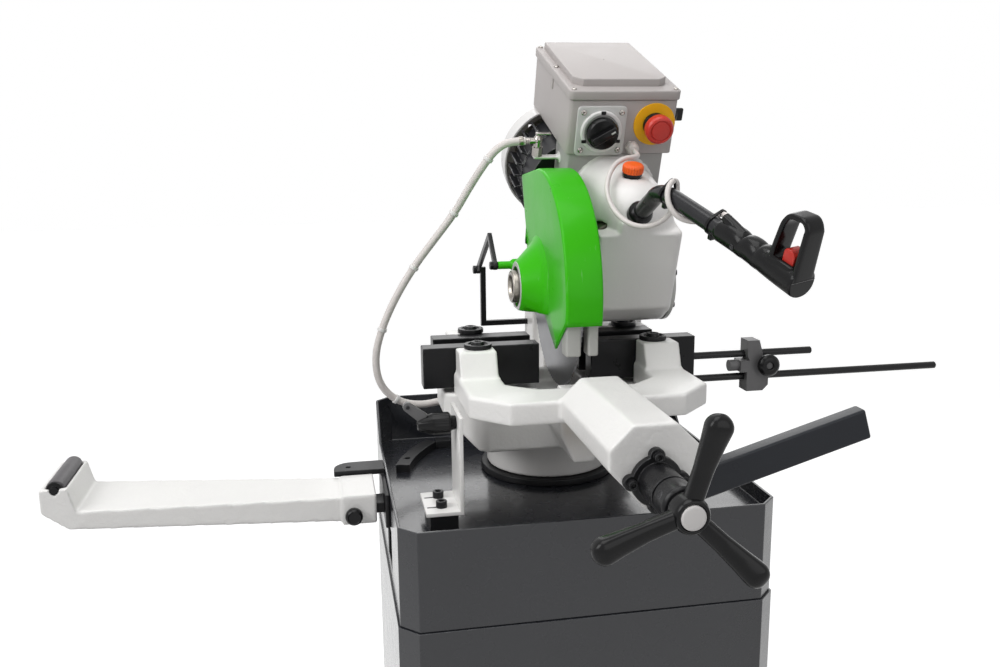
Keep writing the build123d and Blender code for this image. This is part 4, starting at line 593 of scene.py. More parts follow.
class Coat(Enum):
    """Finishes of the saw."""

    STAND = Finish("anthracite_paint", "stand_paint", (0.015, 0.016, 0.020), 0.27, specular=0.3, coat=0.45,
                   grain=0.00012, grain_scale=420.0, drift=0.3, rub_and_highlight=0.3, rubbed_and_highlit_colour=(0.16, 0.16, 0.17))
    TANK = Finish("tank_paint", "tank_paint", (0.16, 0.17, 0.18), 0.5)
    PUMP = Finish("pump_plastic", "pump_plastic", (0.018, 0.018, 0.02), 0.45, specular=0.2)
    DARK_CAST = Finish("dark_casting", "dark_casting", (0.012, 0.012, 0.013), 0.4, specular=0.2, grain=0.0002,
                       grain_scale=260.0, rub_and_highlight=0.4, rubbed_and_highlit_colour=(0.16, 0.16, 0.16))
    WHITE_CAST = Finish("white_casting", "white_casting", (0.80, 0.79, 0.775), 0.42, coat=0.2, drift=0.09,
                        grain=0.00045, grain_scale=230.0, rub_and_highlight=0.25, rubbed_and_highlit_colour=(0.42, 0.39, 0.33))
    WHITE_PLATE = Finish("white_plate", "white_plate", (0.78, 0.77, 0.755), 0.38, coat=0.2, drift=0.07,
                         rub_and_highlight=0.4, rubbed_and_highlit_colour=(0.4, 0.38, 0.34))
    BRONZE = Finish("bronze", "bronze", (0.55, 0.36, 0.13), 0.35, metallic=1.0)
    JAW = Finish("jaw_steel", "jaw_steel", (0.009, 0.009, 0.010), 0.3, specular=0.16, drift=0.6,
                 drift_scale=30.0, grain=0.00008, rub_and_highlight=0.8, rubbed_and_highlit_colour=(0.2, 0.2, 0.21))
    BLACK_STEEL = Finish("black_steel", "black_steel", (0.011, 0.011, 0.012), 0.28, specular=0.2, drift=0.4,
                         grain=0.00004, rub_and_highlight=0.4, rubbed_and_highlit_colour=(0.18, 0.18, 0.19))
    LEVER = Finish("lever_paint", "lever_paint", (0.014, 0.016, 0.021), 0.3, specular=0.22, grain=0.00008,
                   rub_and_highlight=0.3, rubbed_and_highlit_colour=(0.16, 0.16, 0.17))
    BLACK_PLASTIC = Finish("black_plastic", "black_plastic", (0.007, 0.007, 0.0075), 0.2, specular=0.18,
                           drift=0.3, grain=0.00003, grain_scale=1300.0)
    RUBBER = Finish("roller_rubber", "roller_rubber", (0.075, 0.070, 0.075), 0.42, drift=0.4,
                    drift_scale=60.0, grain=0.0001)
    CAP = Finish("cap_grey", "cap_grey", (0.68, 0.66, 0.65), 0.35, drift=0.08)
    STEEL = Finish("machined_steel", "steel", (0.30, 0.28, 0.25), 0.32, metallic=1.0, drift=0.4)
    BLADE = Finish("blade_steel", "blade_steel", (0.20, 0.20, 0.21), 0.36, metallic=1.0, drift=0.3,
                   drift_scale=22.0)
    GREY_CAST = Finish("grey_casting", "grey_casting", (0.74, 0.725, 0.71), 0.36, coat=0.2, drift=0.08,
                       grain=0.00016, grain_scale=240.0)
    GREY_COVER = Finish("grey_cover", "grey_cover", (0.50, 0.50, 0.485), 0.36, drift=0.1)
    # A darker copy of the case's grey paint: painted shade on the neck.
    NECK = Finish("neck_grey", "grey_cover", (0.34, 0.335, 0.325), 0.4, drift=0.18, grain=0.00012,
                  grain_scale=300.0)
    # Black stands in for the shade in the gaps between the fins (painted shade); the strong edge mask shows the
    # fins' pale ends.
    FINS = Finish("motor_black", "grey_cover", (0.012, 0.012, 0.014), 0.4, specular=0.2, rub_and_highlight=0.9,
                  rubbed_and_highlit_colour=(0.4, 0.4, 0.4))
    COWL = Finish("cowl_white", "cowl_white", (0.72, 0.71, 0.70), 0.32, coat=0.2, drift=0.05)
    # Its edge mask is partly rubbed paint and partly a painted highlight on the rolled rims, in a paler green; the
    # scuffs are real scratches.
    HOOD = Finish("hood_green", "hood_green", (0.040, 0.45, 0.004), 0.3, specular=0.1, coat=0.05, drift=0.14,
                  grain=0.00008, grain_scale=260.0, rub_and_highlight=0.45, rubbed_and_highlit_colour=(0.42, 0.62, 0.36), scuffs=2.2)
    DEFLECTOR = Finish("deflector_grey", "deflector_grey", (0.42, 0.42, 0.40), 0.42)
    BOX = Finish("box_plastic", "box_plastic", (0.42, 0.39, 0.38), 0.46, drift=0.07, grain=0.00006,
                 grain_scale=1500.0)
    TUBE = Finish("tube_paint", "tube_paint", (0.010, 0.010, 0.012), 0.26, specular=0.25, coat=0.1, rub_and_highlight=0.2)
    CHROME = Finish("valve_metal", "valve_metal", (0.34, 0.32, 0.30), 0.22, metallic=1.0, drift=0.4)
    CABLE = Finish("cable_white", "cable_white", (0.66, 0.62, 0.60), 0.4, drift=0.12, drift_scale=40.0)
    SWITCH = Finish("switch_white", "switch_white", (0.56, 0.56, 0.55), 0.36, drift=0.05)
    YELLOW = Finish("estop_yellow", "estop_yellow", (0.95, 0.50, 0.015), 0.4, specular=0.2, drift=0.06)
    RED = Finish("estop_red", "estop_red", (0.55, 0.035, 0.025), 0.3, specular=0.25, coat=0.1, drift=0.06)
    LEVER_GREY = Finish("lever_grey", "black_plastic", (0.12, 0.118, 0.12), 0.4)
    ORANGE = Finish("cap_orange", "cap_orange", (0.84, 0.12, 0.018), 0.36, specular=0.25, drift=0.08)


def paint(mesh: Mesh, coat: Coat) -> None:
    """Gives a mesh one finish and no other."""
    mesh.materials.clear()
    mesh.materials.append(coat.value.material())


def show(thing: Thing, body: Optional[str], coat: Coat, nodes: Iterable[str] = ()) -> Thing:
    """Gives a piece its finish, its body and the nodes that it stands for.

    Args:
        thing: The piece.
        body: Body that it moves with, or none where it rides on no body.
        coat: Its finish.
        nodes: Nodes that it replaces.

    Returns:
        The piece.
    """
    paint(thing.data, coat)
    if body:
        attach(thing, body)
    if nodes:
        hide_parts(*nodes)
    LOG.info("%s on %s", thing.name, body)
    return thing


def new_object(name: str, data: Any) -> Thing:
    """Object at the origin.

    Args:
        name: Its name.
        data: Mesh, curve, light or camera data that it holds.

    Returns:
        The object.
    """
    made = bpy.data.objects.new(name, data)
    bpy.context.scene.collection.objects.link(made)
    return made


def smooth(mesh: Mesh, angle: float) -> None:
    """Smooth shading, sharp where faces meet at more than an angle in degrees."""
    mesh.shade_smooth()
    mesh.set_sharp_from_angle(angle=math.radians(angle))


def piece(
    name: str,
    shells: Sequence[Shell],
    body: Optional[str],
    coat: Coat,
    nodes: Iterable[str] = (),
    sharp: float = SHARP,
) -> Thing:
    """Makes one object from closed shells.

    Args:
        name: Name of the piece.
        shells: Its shells.
        body: Body that it moves with, or none where it rides on no body.
        coat: Its finish.
        nodes: Nodes that it replaces.
        sharp: Angle in degrees from which an edge is sharp.

    Returns:
        The piece.
    """
    mesh = bpy.data.meshes.new(name)
    starts = np.cumsum([0] + [len(shell.points) for shell in shells])
    faces = [
        [start + index for index in face] for start, shell in zip(starts, shells) for face in shell.faces
    ]
    mesh.from_pydata(np.concatenate([shell.points for shell in shells]).tolist(), [], faces)
    work = bmesh.new()
    work.from_mesh(mesh)
    bmesh.ops.remove_doubles(work, verts=work.verts, dist=SHELL_WELD)
    bmesh.ops.recalc_face_normals(work, faces=work.faces)
    work.to_mesh(mesh)
    work.free()
    smooth(mesh, sharp)
    return show(new_object(name, mesh), body, coat, nodes)


def stand_in(node: str, shells: Sequence[Shell], coat: Coat, sharp: float = SHARP) -> Thing:
    """Piece that replaces one node and moves with that node's body."""
    return piece(node + "_shown", shells, BODY_OF[node], coat, [node], sharp)


def baked(thing: Thing) -> Mesh:
    """New mesh of an object as its modifiers leave it."""
    return bpy.data.meshes.new_from_object(thing.evaluated_get(bpy.context.evaluated_depsgraph_get()))


def modify(thing: Thing, name: str, kind: str, **settings: Any) -> None:
    """Adds a modifier to a piece.

    Args:
        thing: The piece.
        name: Name of the modifier.
        kind: Blender's name of its type.
        settings: Its settings by name.
    """
    made = thing.modifiers.new(name, kind)
    for label, value in settings.items():
        setattr(made, label, value)


def settle(thing: Thing) -> None:
    """Keeps what the modifiers leave as a piece's own mesh.

    Args:
        thing: The piece.
    """
    mesh = baked(thing)
    thing.modifiers.clear()
    thing.data = mesh


def mesh_points(mesh: Mesh) -> np.ndarray:
    """Reads the vertices of a mesh.

    Args:
        mesh: The mesh.

    Returns:
        Their places as (count, 3).
    """
    points = np.zeros(len(mesh.vertices) * 3)
    mesh.vertices.foreach_get("co", points)
    return points.reshape(-1, 3)


def cut(thing: Thing, shell: Shell) -> None:
    """Takes a closed shell out of a piece's mesh for good.

    Args:
        thing: The piece.
        shell: What is taken out.
    """
    mesh = bpy.data.meshes.new("cutter")
    mesh.from_pydata(shell.points.tolist(), [], shell.faces)
    cutter = new_object("cutter", mesh)
    modify(thing, "pocket", "BOOLEAN", operation="DIFFERENCE", solver="EXACT", use_self=True, object=cutter)
    settle(thing)
    bpy.data.objects.remove(cutter)


class Edge(Enum):
    """How the edges of a copied solid are finished."""

    MILLED = "milled"
    CAST = "cast"


@dataclass(frozen=True)
class Copy:
    """A node shown as a copy of its own solid with softened edges."""

    node: str
    coat: Coat
    size: float = 0.001
    edge: Edge = Edge.MILLED
    passes: int = 6
    flat_angle: float = 0.6
    bevel_from: float = 32.0

    def make(self) -> Thing:
        """Merges the solid's triangles, then bevels its edges or casts it in small voxels.

        Returns:
            The piece.
        """
        source = frame["nodes"][self.node].data
        mesh = bpy.data.meshes.new(self.node + "_shown")
        faces = [tuple(face.vertices) for face in source.polygons]
        mesh.from_pydata(mesh_points(source).tolist(), [], faces)
        work = bmesh.new()
        work.from_mesh(mesh)
        bmesh.ops.remove_doubles(work, verts=work.verts, dist=SOLID_WELD)
        flat = math.radians(self.flat_angle)
        bmesh.ops.dissolve_limit(work, angle_limit=flat, verts=work.verts, edges=work.edges)
        work.to_mesh(mesh)
        work.free()
        made = new_object(self.node + "_shown", mesh)
        if self.edge is Edge.CAST:
            self.cast(made)
        else:
            self.mill(made)
        return show(made, BODY_OF[self.node], self.coat, [self.node])

    def cast(self, made: Thing) -> None:
        """Voxel remesh and smoothing, kept as the piece's own mesh.

        Args:
            made: The piece.
        """
        modify(made, "voxels", "REMESH", mode="VOXEL", voxel_size=self.size)
        modify(made, "soften", "SMOOTH", factor=0.5, iterations=self.passes)
        settle(made)
        made.data.shade_smooth()

    def mill(self, made: Thing) -> None:
        """Narrow bevel on the sharp edges, with the flats kept flat.

        Args:
            made: The piece.
        """
        made.data.shade_smooth()
        limit = math.radians(self.bevel_from)
        modify(made, "edges", "BEVEL", width=self.size, segments=2, limit_method="ANGLE", angle_limit=limit)
        modify(made, "flats", "WEIGHTED_NORMAL", keep_sharp=True, weight=100)


Copies = ClassVar[tuple[Copy, ...]]
Plain = ClassVar[tuple[tuple[str, Coat], ...]]


def dress(node: str, coat: Coat) -> None:
    """Gives a node that shows as it is its finish."""
    paint(frame["nodes"][node].data, coat)
    LOG.info("%s as it is", node)


def cap_screw(centre: Any, axis: Any, radius: float, height: float) -> Shell:
    """Socket head: a turned head with a sunk middle.

    Args:
        centre: Middle of its seat.
        axis: Direction from the seat to its top.
        radius: Radius of the head.
        height: Height of the head.

    Returns:
        The closed shell.
    """
    sunk = height * 0.45
    profile = [(0, radius), (height, radius), (height, radius * 0.55)]
    profile += [(sunk, radius * 0.5), (sunk, radius * 0.05)]
    return turned(profile, centre, axis, sides=24, soft=radius * 0.12)


def ring_of(count: int, radius: float, centre: Any, side: Any, top: Any, start: float = 0.0) -> np.ndarray:
    """Points evenly spaced on a circle: centre + radius (cos t side + sin t top)."""
    angle = start + np.arange(count)[:, None] * FULL_TURN / count
    return np.asarray(centre) + radius * (np.cos(angle) * side + np.sin(angle) * top)


def front_of(node: str, joint: str) -> tuple[np.ndarray, float]:
    """Finds where a turned node starts.

    Args:
        node: Name of the node.
        joint: Joint whose axis runs along y through it.

    Returns:
        The point of the axis at the front of the node, and the node's length along y.
    """
    low, high = node_box(node)
    pivot = joint_at(joint)
    return np.array([pivot[0], low[1], pivot[2]]), high[1] - low[1]


def refined(line: np.ndarray, first: int, last: int) -> np.ndarray:
    """Cuts the first and last run of a line into shorter ones.

    Args:
        line: Points of the line.
        first: Points on the first run.
        last: Points on the last run.

    Returns:
        The points of the refined line.
    """
    start = np.linspace(line[0], line[1], first)[:-1]
    end = np.linspace(line[-2], line[-1], last)[1:]
    return np.concatenate([start, line[1:-1], end])


class SubAssembly:
    """Part of the saw: copied solids first, then its modelled pieces."""

    copies: Copies = ()
    plain: Plain = ()

    def build(self) -> None:
        """Makes the copies, dresses what stays as it is and models the rest."""
        for copy in self.copies:
            copy.make()
        for node, coat in self.plain:
            dress(node, coat)
        self.model()

    def model(self) -> None:
        """Makes the modelled pieces."""


@dataclass
class Stand(SubAssembly):
    """Cabinet, chip tray and the coolant parts inside."""

    copies: Copies = (
        Copy("stand_cabinet", Coat.STAND, 0.0012),
        Copy("chip_tray", Coat.STAND, 0.0012),
        Copy("coolant_tank", Coat.TANK, 0.001),
        Copy("coolant_pump", Coat.PUMP, 0.002),
        Copy("centre_column", Coat.DARK_CAST, 0.002),
    )


@dataclass
class TrayFittings(SubAssembly):
    """Bracket, clamping lever, stops, mitre lever and their screws."""

    screw_radius: float = 0.007
    screw_height: float = 0.0085
    plate: float = 0.005
    block_top: float = 0.819
    block_inset: Sizes = (0.005, 0.007, 0.004)
    slot: Sizes = (0.014, 0.0016, 0.011)
    hub_radius: float = 0.0135
    hub_end: float = -0.2075
    arm_join: Pair = (-0.199, 0.937)
    arm_half: Pair = (0.0068, 0.0046)
    arm_y: Pair = (-0.194, -0.187)
    copies: Copies = (
        Copy("mitre_stops", Coat.DARK_CAST, 0.0015),
        Copy("mitre_lever", Coat.LEVER, 0.0025),
    )

    def model(self) -> None:
        """Makes the screws, the bracket and the clamping lever."""
        low, high = node_box("tray_screws")
        middle = (low[0] + high[0]) / 2
        seats = [(middle, y, low[2]) for y in (low[1] + self.screw_radius, high[1] - self.screw_radius)]
        heads = [cap_screw(seat, Z, self.screw_radius, self.screw_height) for seat in seats]
        piece("tray_screw_heads", heads, "stand", Coat.BLACK_STEEL, ["tray_screws"])
        self.bracket(seats)
        self.lever()

    def bracket(self, seats: Sequence[Place]) -> None:
        """L-plate carried across, on a dark block, with a slot beside each screw.

        Args:
            seats: Places of the two screws.
        """
        low, high = node_box("brace_bracket")
        floor, thick = self.block_top, self.plate
        outline = [(low[0], floor), (high[0], floor), (high[0], high[2]), (high[0] - thick, high[2])]
        outline += [(high[0] - thick, floor + thick), (low[0], floor + thick)]
        plate = rounded_prism(outline, (low[1], high[1]), 0.0008, ROW.ordered("acb"))
        stand_in("brace_bracket", [plate], Coat.WHITE_PLATE)
        front, back, end = self.block_inset
        long, wide = (low[0] + front, high[0] - back), (low[1] + end, high[1] - end)
        base = block(long, wide, (low[2], floor), 0.0006, ROW)
        piece("bracket_block", [base], "stand", Coat.DARK_CAST)
        reach, half, gap = self.slot
        slots = []
        for x, y, z in seats:
            ends = (x - gap - reach / 2, x - gap + reach / 2)
            slots.append(block(ends, (y - half, y + half), (z - 0.001, z + 0.0002), 0.0001, ROW, half * 0.8))
        piece("bracket_slots", slots, "stand", Coat.BLACK_STEEL)

    def lever(self) -> None:
        """Ribbed tapered hub with a screw in its end, and a flat tapered arm up to an eye with a pin."""
        low, high = node_box("brace_lever")
        pivot = joint_at("brace_turn")
        seat = np.array([high[0] - self.plate - 0.0003, pivot[1], pivot[2]])
        big = self.hub_radius
        long = seat[0] - self.hub_end
        hub = [(-0.005, 0.005), (0, 0.005), (0, big * 0.62), (0.006, big * 0.66), (0.008, big)]
        hub += [(long * 0.6, big), (long * 0.86, big * 0.7), (long, big * 0.52)]
        hub += [(long, big * 0.34), (long - 0.002, big * 0.3)]
        shells = [turned(hub, seat, -X, sides=72, lobes=18, swell=0.02, soft=0.002)]
        eye = np.array([low[0] + 0.018, high[2] - 0.0085])
        join = np.array(self.arm_join)
        ahead = unit(eye - join)
        side = np.array([-ahead[1], ahead[0]])
        wide, narrow = self.arm_half
        turn = np.linspace(QUARTER_TURN, -QUARTER_TURN, 13)[:, None]
        tip = eye + 1.25 * narrow * (np.cos(turn) * ahead + np.sin(turn) * side)
        outline = np.concatenate([[join - wide * side, join + wide * side], tip])
        arm = rounded_prism(outline, self.arm_y, 0.0008, ROW.ordered("acb"))
        stand_in("brace_lever", shells, Coat.BLACK_PLASTIC)
        piece("brace_lever_arm", [arm], "brace_lever", Coat.LEVER_GREY)
        head = [(0, 0.0026), (0.0015, 0.0026), (0.0015, AXIS)]
        pin = turned(head, (eye[0], self.arm_y[0], eye[1]), -Y, 20, soft=0.0003)
        piece("brace_lever_pin", [pin], "brace_lever", Coat.BLACK_STEEL)


@dataclass
class Vise(SubAssembly):
    """Base and slide castings, jaws, clamps, screw and handwheel."""

    clamp_radius: float = 0.018
    clamp_height: float = 0.006
    flange_bolt: Pair = (0.0048, 0.006)
    set_screw: Pair = (0.004, 0.0026)
    flange_step: float = 0.008
    flange_ring: float = 0.026
    arm_reach: float = 0.0975
    arm_turn: float = 76.0
    arm_sweep: float = 0.014
    arm_root: float = 0.0095
    arm_tip: float = 0.0128
    hub_radius: float = 0.0175
    cap_radius: float = 0.0122
    cap_rise: float = 0.001
    copies: Copies = (
        Copy("vise_base", Coat.WHITE_CAST, 0.0021, Edge.CAST, 6),
        Copy("vise_slide", Coat.WHITE_CAST, 0.0021, Edge.CAST, 6),
        Copy("rear_jaws", Coat.JAW, 0.0012),
        Copy("front_jaws", Coat.JAW, 0.0012),
        Copy("screw_flange", Coat.BLACK_STEEL, 0.0012),
    )
    plain: Plain = (("vise_nut", Coat.BRONZE), ("vise_screw", Coat.STEEL))

    def model(self) -> None:
        """Makes the clamps, flange bolts, collar, handwheel and its cap."""
        for node in ("front_jaw_clamps", "rear_jaw_clamps"):
            self.clamps(node)
        axis_z = joint_at("handwheel_turn")[2]
        face = node_box("vise_slide")[0][1] - self.flange_step
        spots = ring_of(4, self.flange_ring, (0, face, axis_z), X, Z)
        bolts = [cap_screw(spot, -Y, *self.flange_bolt) for spot in spots]
        piece("flange_bolts", bolts, "vise_slide", Coat.BLACK_STEEL)
        self.collar()
        self.handwheel()

    def clamps(self, node: str) -> None:
        """Discs with a raised rim, a groove and a bolt in the middle, turned.

        Args:
            node: Node of the two discs.
        """
        low, high = node_box(node)
        radius, tall = self.clamp_radius, self.clamp_height
        middle = (low[1] + high[1]) / 2
        top = high[2] - tall * 1.5
        profile = [(-0.03, 0.006), (0, 0.006), (0, radius), (tall, radius), (tall, radius * 0.72)]
        profile += [(tall * 0.7, radius * 0.66), (tall * 0.7, radius * 0.5), (tall * 1.5, radius * 0.46)]
        profile += [(tall * 1.5, radius * 0.22), (tall * 0.9, radius * 0.2), (tall * 0.9, AXIS)]
        spots = [(x, middle, top) for x in (low[0] + radius, high[0] - radius)]
        shells = [turned(profile, spot, Z, soft=0.0008) for spot in spots]
        stand_in(node, shells, Coat.BLACK_STEEL)

    def collar(self) -> None:
        """Collar with chamfered ends and two set screws."""
        low, high = node_box("screw_collar")
        radius = (high[0] - low[0]) / 2
        centre = np.array([0, low[1], (low[2] + high[2]) / 2])
        long = high[1] - low[1]
        profile = [(0, 0.010), (0, radius * 0.88), (0.003, radius), (long - 0.003, radius)]
        profile += [(long, radius * 0.88), (long, 0.010)]
        shells = [turned(profile, centre, Y, soft=0.001)]
        for side in (-X + 0.5 * Z, X + Z):
            seat = centre + Y * long / 2 + unit(side) * (radius - 0.0022)
            shells.append(cap_screw(seat, side, *self.set_screw))
        stand_in("screw_collar", shells, Coat.BLACK_STEEL)

    def handwheel(self) -> None:
        """Turned hub and three arms, each an oval carried outward and forward that swells to a round club."""
        axis_z = joint_at("handwheel_turn")[2]
        front = np.array([0, node_box("handwheel_cap")[0][1] + self.cap_rise, axis_z])
        long = node_box("handwheel")[1][1] - front[1]
        radius, rim = self.hub_radius, self.cap_radius
        hub = [(0.0045, rim), (0.0002, rim + 0.0005), (0, radius - 0.002), (0.004, radius)]
        hub += [(long * 0.7, radius * 1.06), (long - 0.003, radius * 0.98)]
        hub += [(long, radius * 0.9), (long, 0.0102)]
        shells = [turned(hub, front, Y, sides=56, soft=0.0018)]
        start = 1 - self.arm_tip / self.arm_reach
        round_end = np.sin(np.linspace(0.1, QUARTER_TURN - 0.02, 12))
        share = np.concatenate([np.linspace(0.07, start, 26), start + (1 - start) * round_end])
        closing = np.sqrt(np.clip(1 - (np.clip(share - start, 0, None) / (1 - start)) ** 2, 0.0004, 1))
        stations = [0, 0.2, 0.45, 0.7, 0.86, 1]
        root, tip = self.arm_root, self.arm_tip
        widths = [root, root * 0.94, root * 0.98, tip * 0.88, tip, tip]
        depths = [root * 0.95, root * 0.84, root * 0.74, tip * 0.66, tip * 0.8, tip * 0.8]
        wide, deep = (np.interp(share, stations, values) for values in (widths, depths))
        sweep = self.arm_sweep * share**1.25
        size = np.stack([wide * closing, deep * closing], -1)
        for turn in range(3):
            angle = math.radians(self.arm_turn + 120 * turn)
            along = math.cos(angle) * X + math.sin(angle) * Z
            path = front + Y * long / 2 + np.outer(self.arm_reach * share, along) - np.outer(sweep, Y)
            shells.append(carried(path, oval(3.0), size, up=-Y))
        stand_in("handwheel", shells, Coat.BLACK_PLASTIC, sharp=50)
        cap = [(0.004, rim - 0.0003), (-0.0004, rim - 0.0003), (-0.001, rim * 0.8), (-0.0012, AXIS)]
        stand_in("handwheel_cap", [turned(cap, front, Y)], Coat.CAP)


@dataclass
class LengthStop(SubAssembly):
    """Two bars, the sliding block and its knob."""

    rod_radius: float = 0.005
    knob_radius: float = 0.0155
    knob_bore: float = 0.0052
    copies: Copies = (Copy("stop_block", Coat.LEVER_GREY, 0.001),)

    def model(self) -> None:
        """Makes the bars with chamfered ends and the mushroom knob."""
        low, high = node_box("stop_rods")
        points = mesh_points(frame["nodes"]["stop_rods"].data)
        split = (low[2] + high[2]) / 2
        shells = []
        for rows in (points[points[:, 2] > split], points[points[:, 2] < split]):
            start, end = rows.min(0), rows.max(0)
            seat = np.array([start[0], (start[1] + end[1]) / 2, (start[2] + end[2]) / 2])
            long = end[0] - start[0]
            radius = self.rod_radius
            profile = [(0, radius), (long - 0.0012, radius), (long, radius - 0.0012), (long, AXIS)]
            shells.append(turned(profile, seat, X, sides=28, soft=0.0002))
        stand_in("stop_rods", shells, Coat.BLACK_STEEL)
        centre, long = front_of("stop_knob", "stop_knob_turn")
        big, bore = self.knob_radius, self.knob_bore
        profile = [(long, 0.004), (0.016, 0.004), (0.016, big * 0.6), (0.012, big * 0.66)]
        profile += [(0.010, big * 0.98), (0.004, big), (0.0005, big * 0.74), (0, bore * 1.25), (0.0008, bore)]
        profile += [(0.004, bore * 0.94), (0.004, AXIS)]
        stand_in("stop_knob", [turned(profile, centre, Y, soft=0.0012)], Coat.BLACK_PLASTIC)
        washer = [(0.0045, bore * 0.9), (0.0034, bore * 0.9), (0.0034, AXIS)]
        screw = turned(washer, centre, Y, sides=24, soft=0.0002)
        piece("stop_knob_screw", [screw], "stop_knob", Coat.LEVER_GREY)


@dataclass
class SupportArm(SubAssembly):
    """Side arm casting, its roller, knob and studs, and its flange on the stand."""

    roller_radius: float = 0.011
    roller_wall: float = 0.0074
    roller_rim: float = 0.001
    knob_radius: float = 0.0115
    stud_x: Pair = (-0.292, -0.272)
    stud_seat: Pair = (-0.1, 0.779)
    copies: Copies = (
        Copy("support_arm", Coat.WHITE_CAST, 0.0019, Edge.CAST, 4),
        Copy("arm_flange", Coat.DARK_CAST, 0.0015),
    )

    def model(self) -> None:
        """Makes the roller, the knob and two studs under the socket block."""
        start, long = front_of("support_roller", "roller_spin")
        big = self.roller_radius
        wall, rim = self.roller_wall, self.roller_rim
        profile = [(wall, AXIS), (wall, big - rim), (wall + rim, big), (long - wall - rim, big)]
        profile += [(long - wall, big - rim), (long - wall, AXIS)]
        stand_in("support_roller", [turned(profile, start, Y)], Coat.RUBBER)
        end = [(0, AXIS), (0, 0.005), (wall * 0.6, 0.005), (wall * 0.6, big * 0.88), (wall + rim, big * 0.88)]
        ends = [turned(end, start, Y), turned(end, start + Y * long, -Y)]
        piece("roller_ends", ends, "support_roller", Coat.BLACK_PLASTIC)
        centre, long = front_of("arm_knob", "arm_knob_turn")
        big = self.knob_radius
        profile = [(long, 0.004), (0.014, 0.004), (0.014, big * 0.8), (0.010, big), (0.003, big * 0.97)]
        profile += [(0.0003, big * 0.72), (0.0012, big * 0.66), (0.0012, AXIS)]
        stand_in("arm_knob", [turned(profile, centre, Y, soft=0.0025)], Coat.BLACK_PLASTIC)
        stud = [(0, 0.0028), (0.006, 0.0028), (0.006, AXIS)]
        studs = [turned(stud, (x, *self.stud_seat), -Z, 16) for x in self.stud_x]
        piece("arm_studs", studs, "support_arm", Coat.BLACK_STEEL)


@dataclass
class Turntable(SubAssembly):
    """Turntable casting with the hinge pin and spring, and the guard's bar and link."""

    spring_radius: float = 0.0195
    wire_radius: float = 0.0025
    spring_turns: int = 6
    spring_pitch: float = 0.007
    copies: Copies = (
        Copy("turntable", Coat.GREY_CAST, 0.0022, Edge.CAST, 6),
        Copy("guard_rod", Coat.BLACK_STEEL, 0.0012),
        Copy("guard_link", Coat.BLACK_STEEL, 0.0010),
    )

    def model(self) -> None:
        """Makes the pin with chamfered ends, the coil spring and the link's bolts."""
        low, high = node_box("hinge_pin")
        pivot = joint_at("head_pivot")
        radius = (high[2] - low[2]) / 2
        long = high[0] - low[0]
        profile = [(0, AXIS), (0, radius - 0.002), (0.002, radius)]
        profile += [(long - 0.002, radius), (long, radius - 0.002), (long, AXIS)]
        start = np.array([low[0], pivot[1], pivot[2]])
        stand_in("hinge_pin", [turned(profile, start, X)], Coat.STEEL)
        self.spring()
        bolt = [(0, 0.0062), (0.004, 0.0062), (0.005, 0.005), (0.005, AXIS)]
        face = node_box("guard_link")[0][0]
        bolts = [turned(bolt, (face, *pin), -X, 6, soft=0.0) for pin in (LINK_LUG, LINK_FOOT)]
        piece("link_bolts", bolts, "guard_link", Coat.BLACK_STEEL)

    def spring(self) -> None:
        """Helix about the pin: (x0 + pitch t, y + r cos, z + r sin), with a straight leg at each end."""
        low, high = node_box("return_spring")
        pivot = joint_at("head_pivot")
        turns = np.linspace(0, self.spring_turns, self.spring_turns * 28 + 1)
        start = (low[0] + high[0] - self.spring_turns * self.spring_pitch) / 2
        angle = math.pi - FULL_TURN * turns
        across = self.spring_radius * np.cos(angle)
        above = self.spring_radius * np.sin(angle)
        coil = np.stack([start + self.spring_pitch * turns, pivot[1] + across, pivot[2] + above], -1)
        foot = np.linspace([coil[0][0], coil[0][1], low[2]], coil[0], 5)[:-1]
        leg = np.linspace(coil[-1], [coil[-1][0], coil[-1][1], high[2]], 5)[1:]
        path = np.concatenate([foot, coil, leg])
        stand_in("return_spring", [round_tube(path, self.wire_radius, 12)], Coat.STEEL)


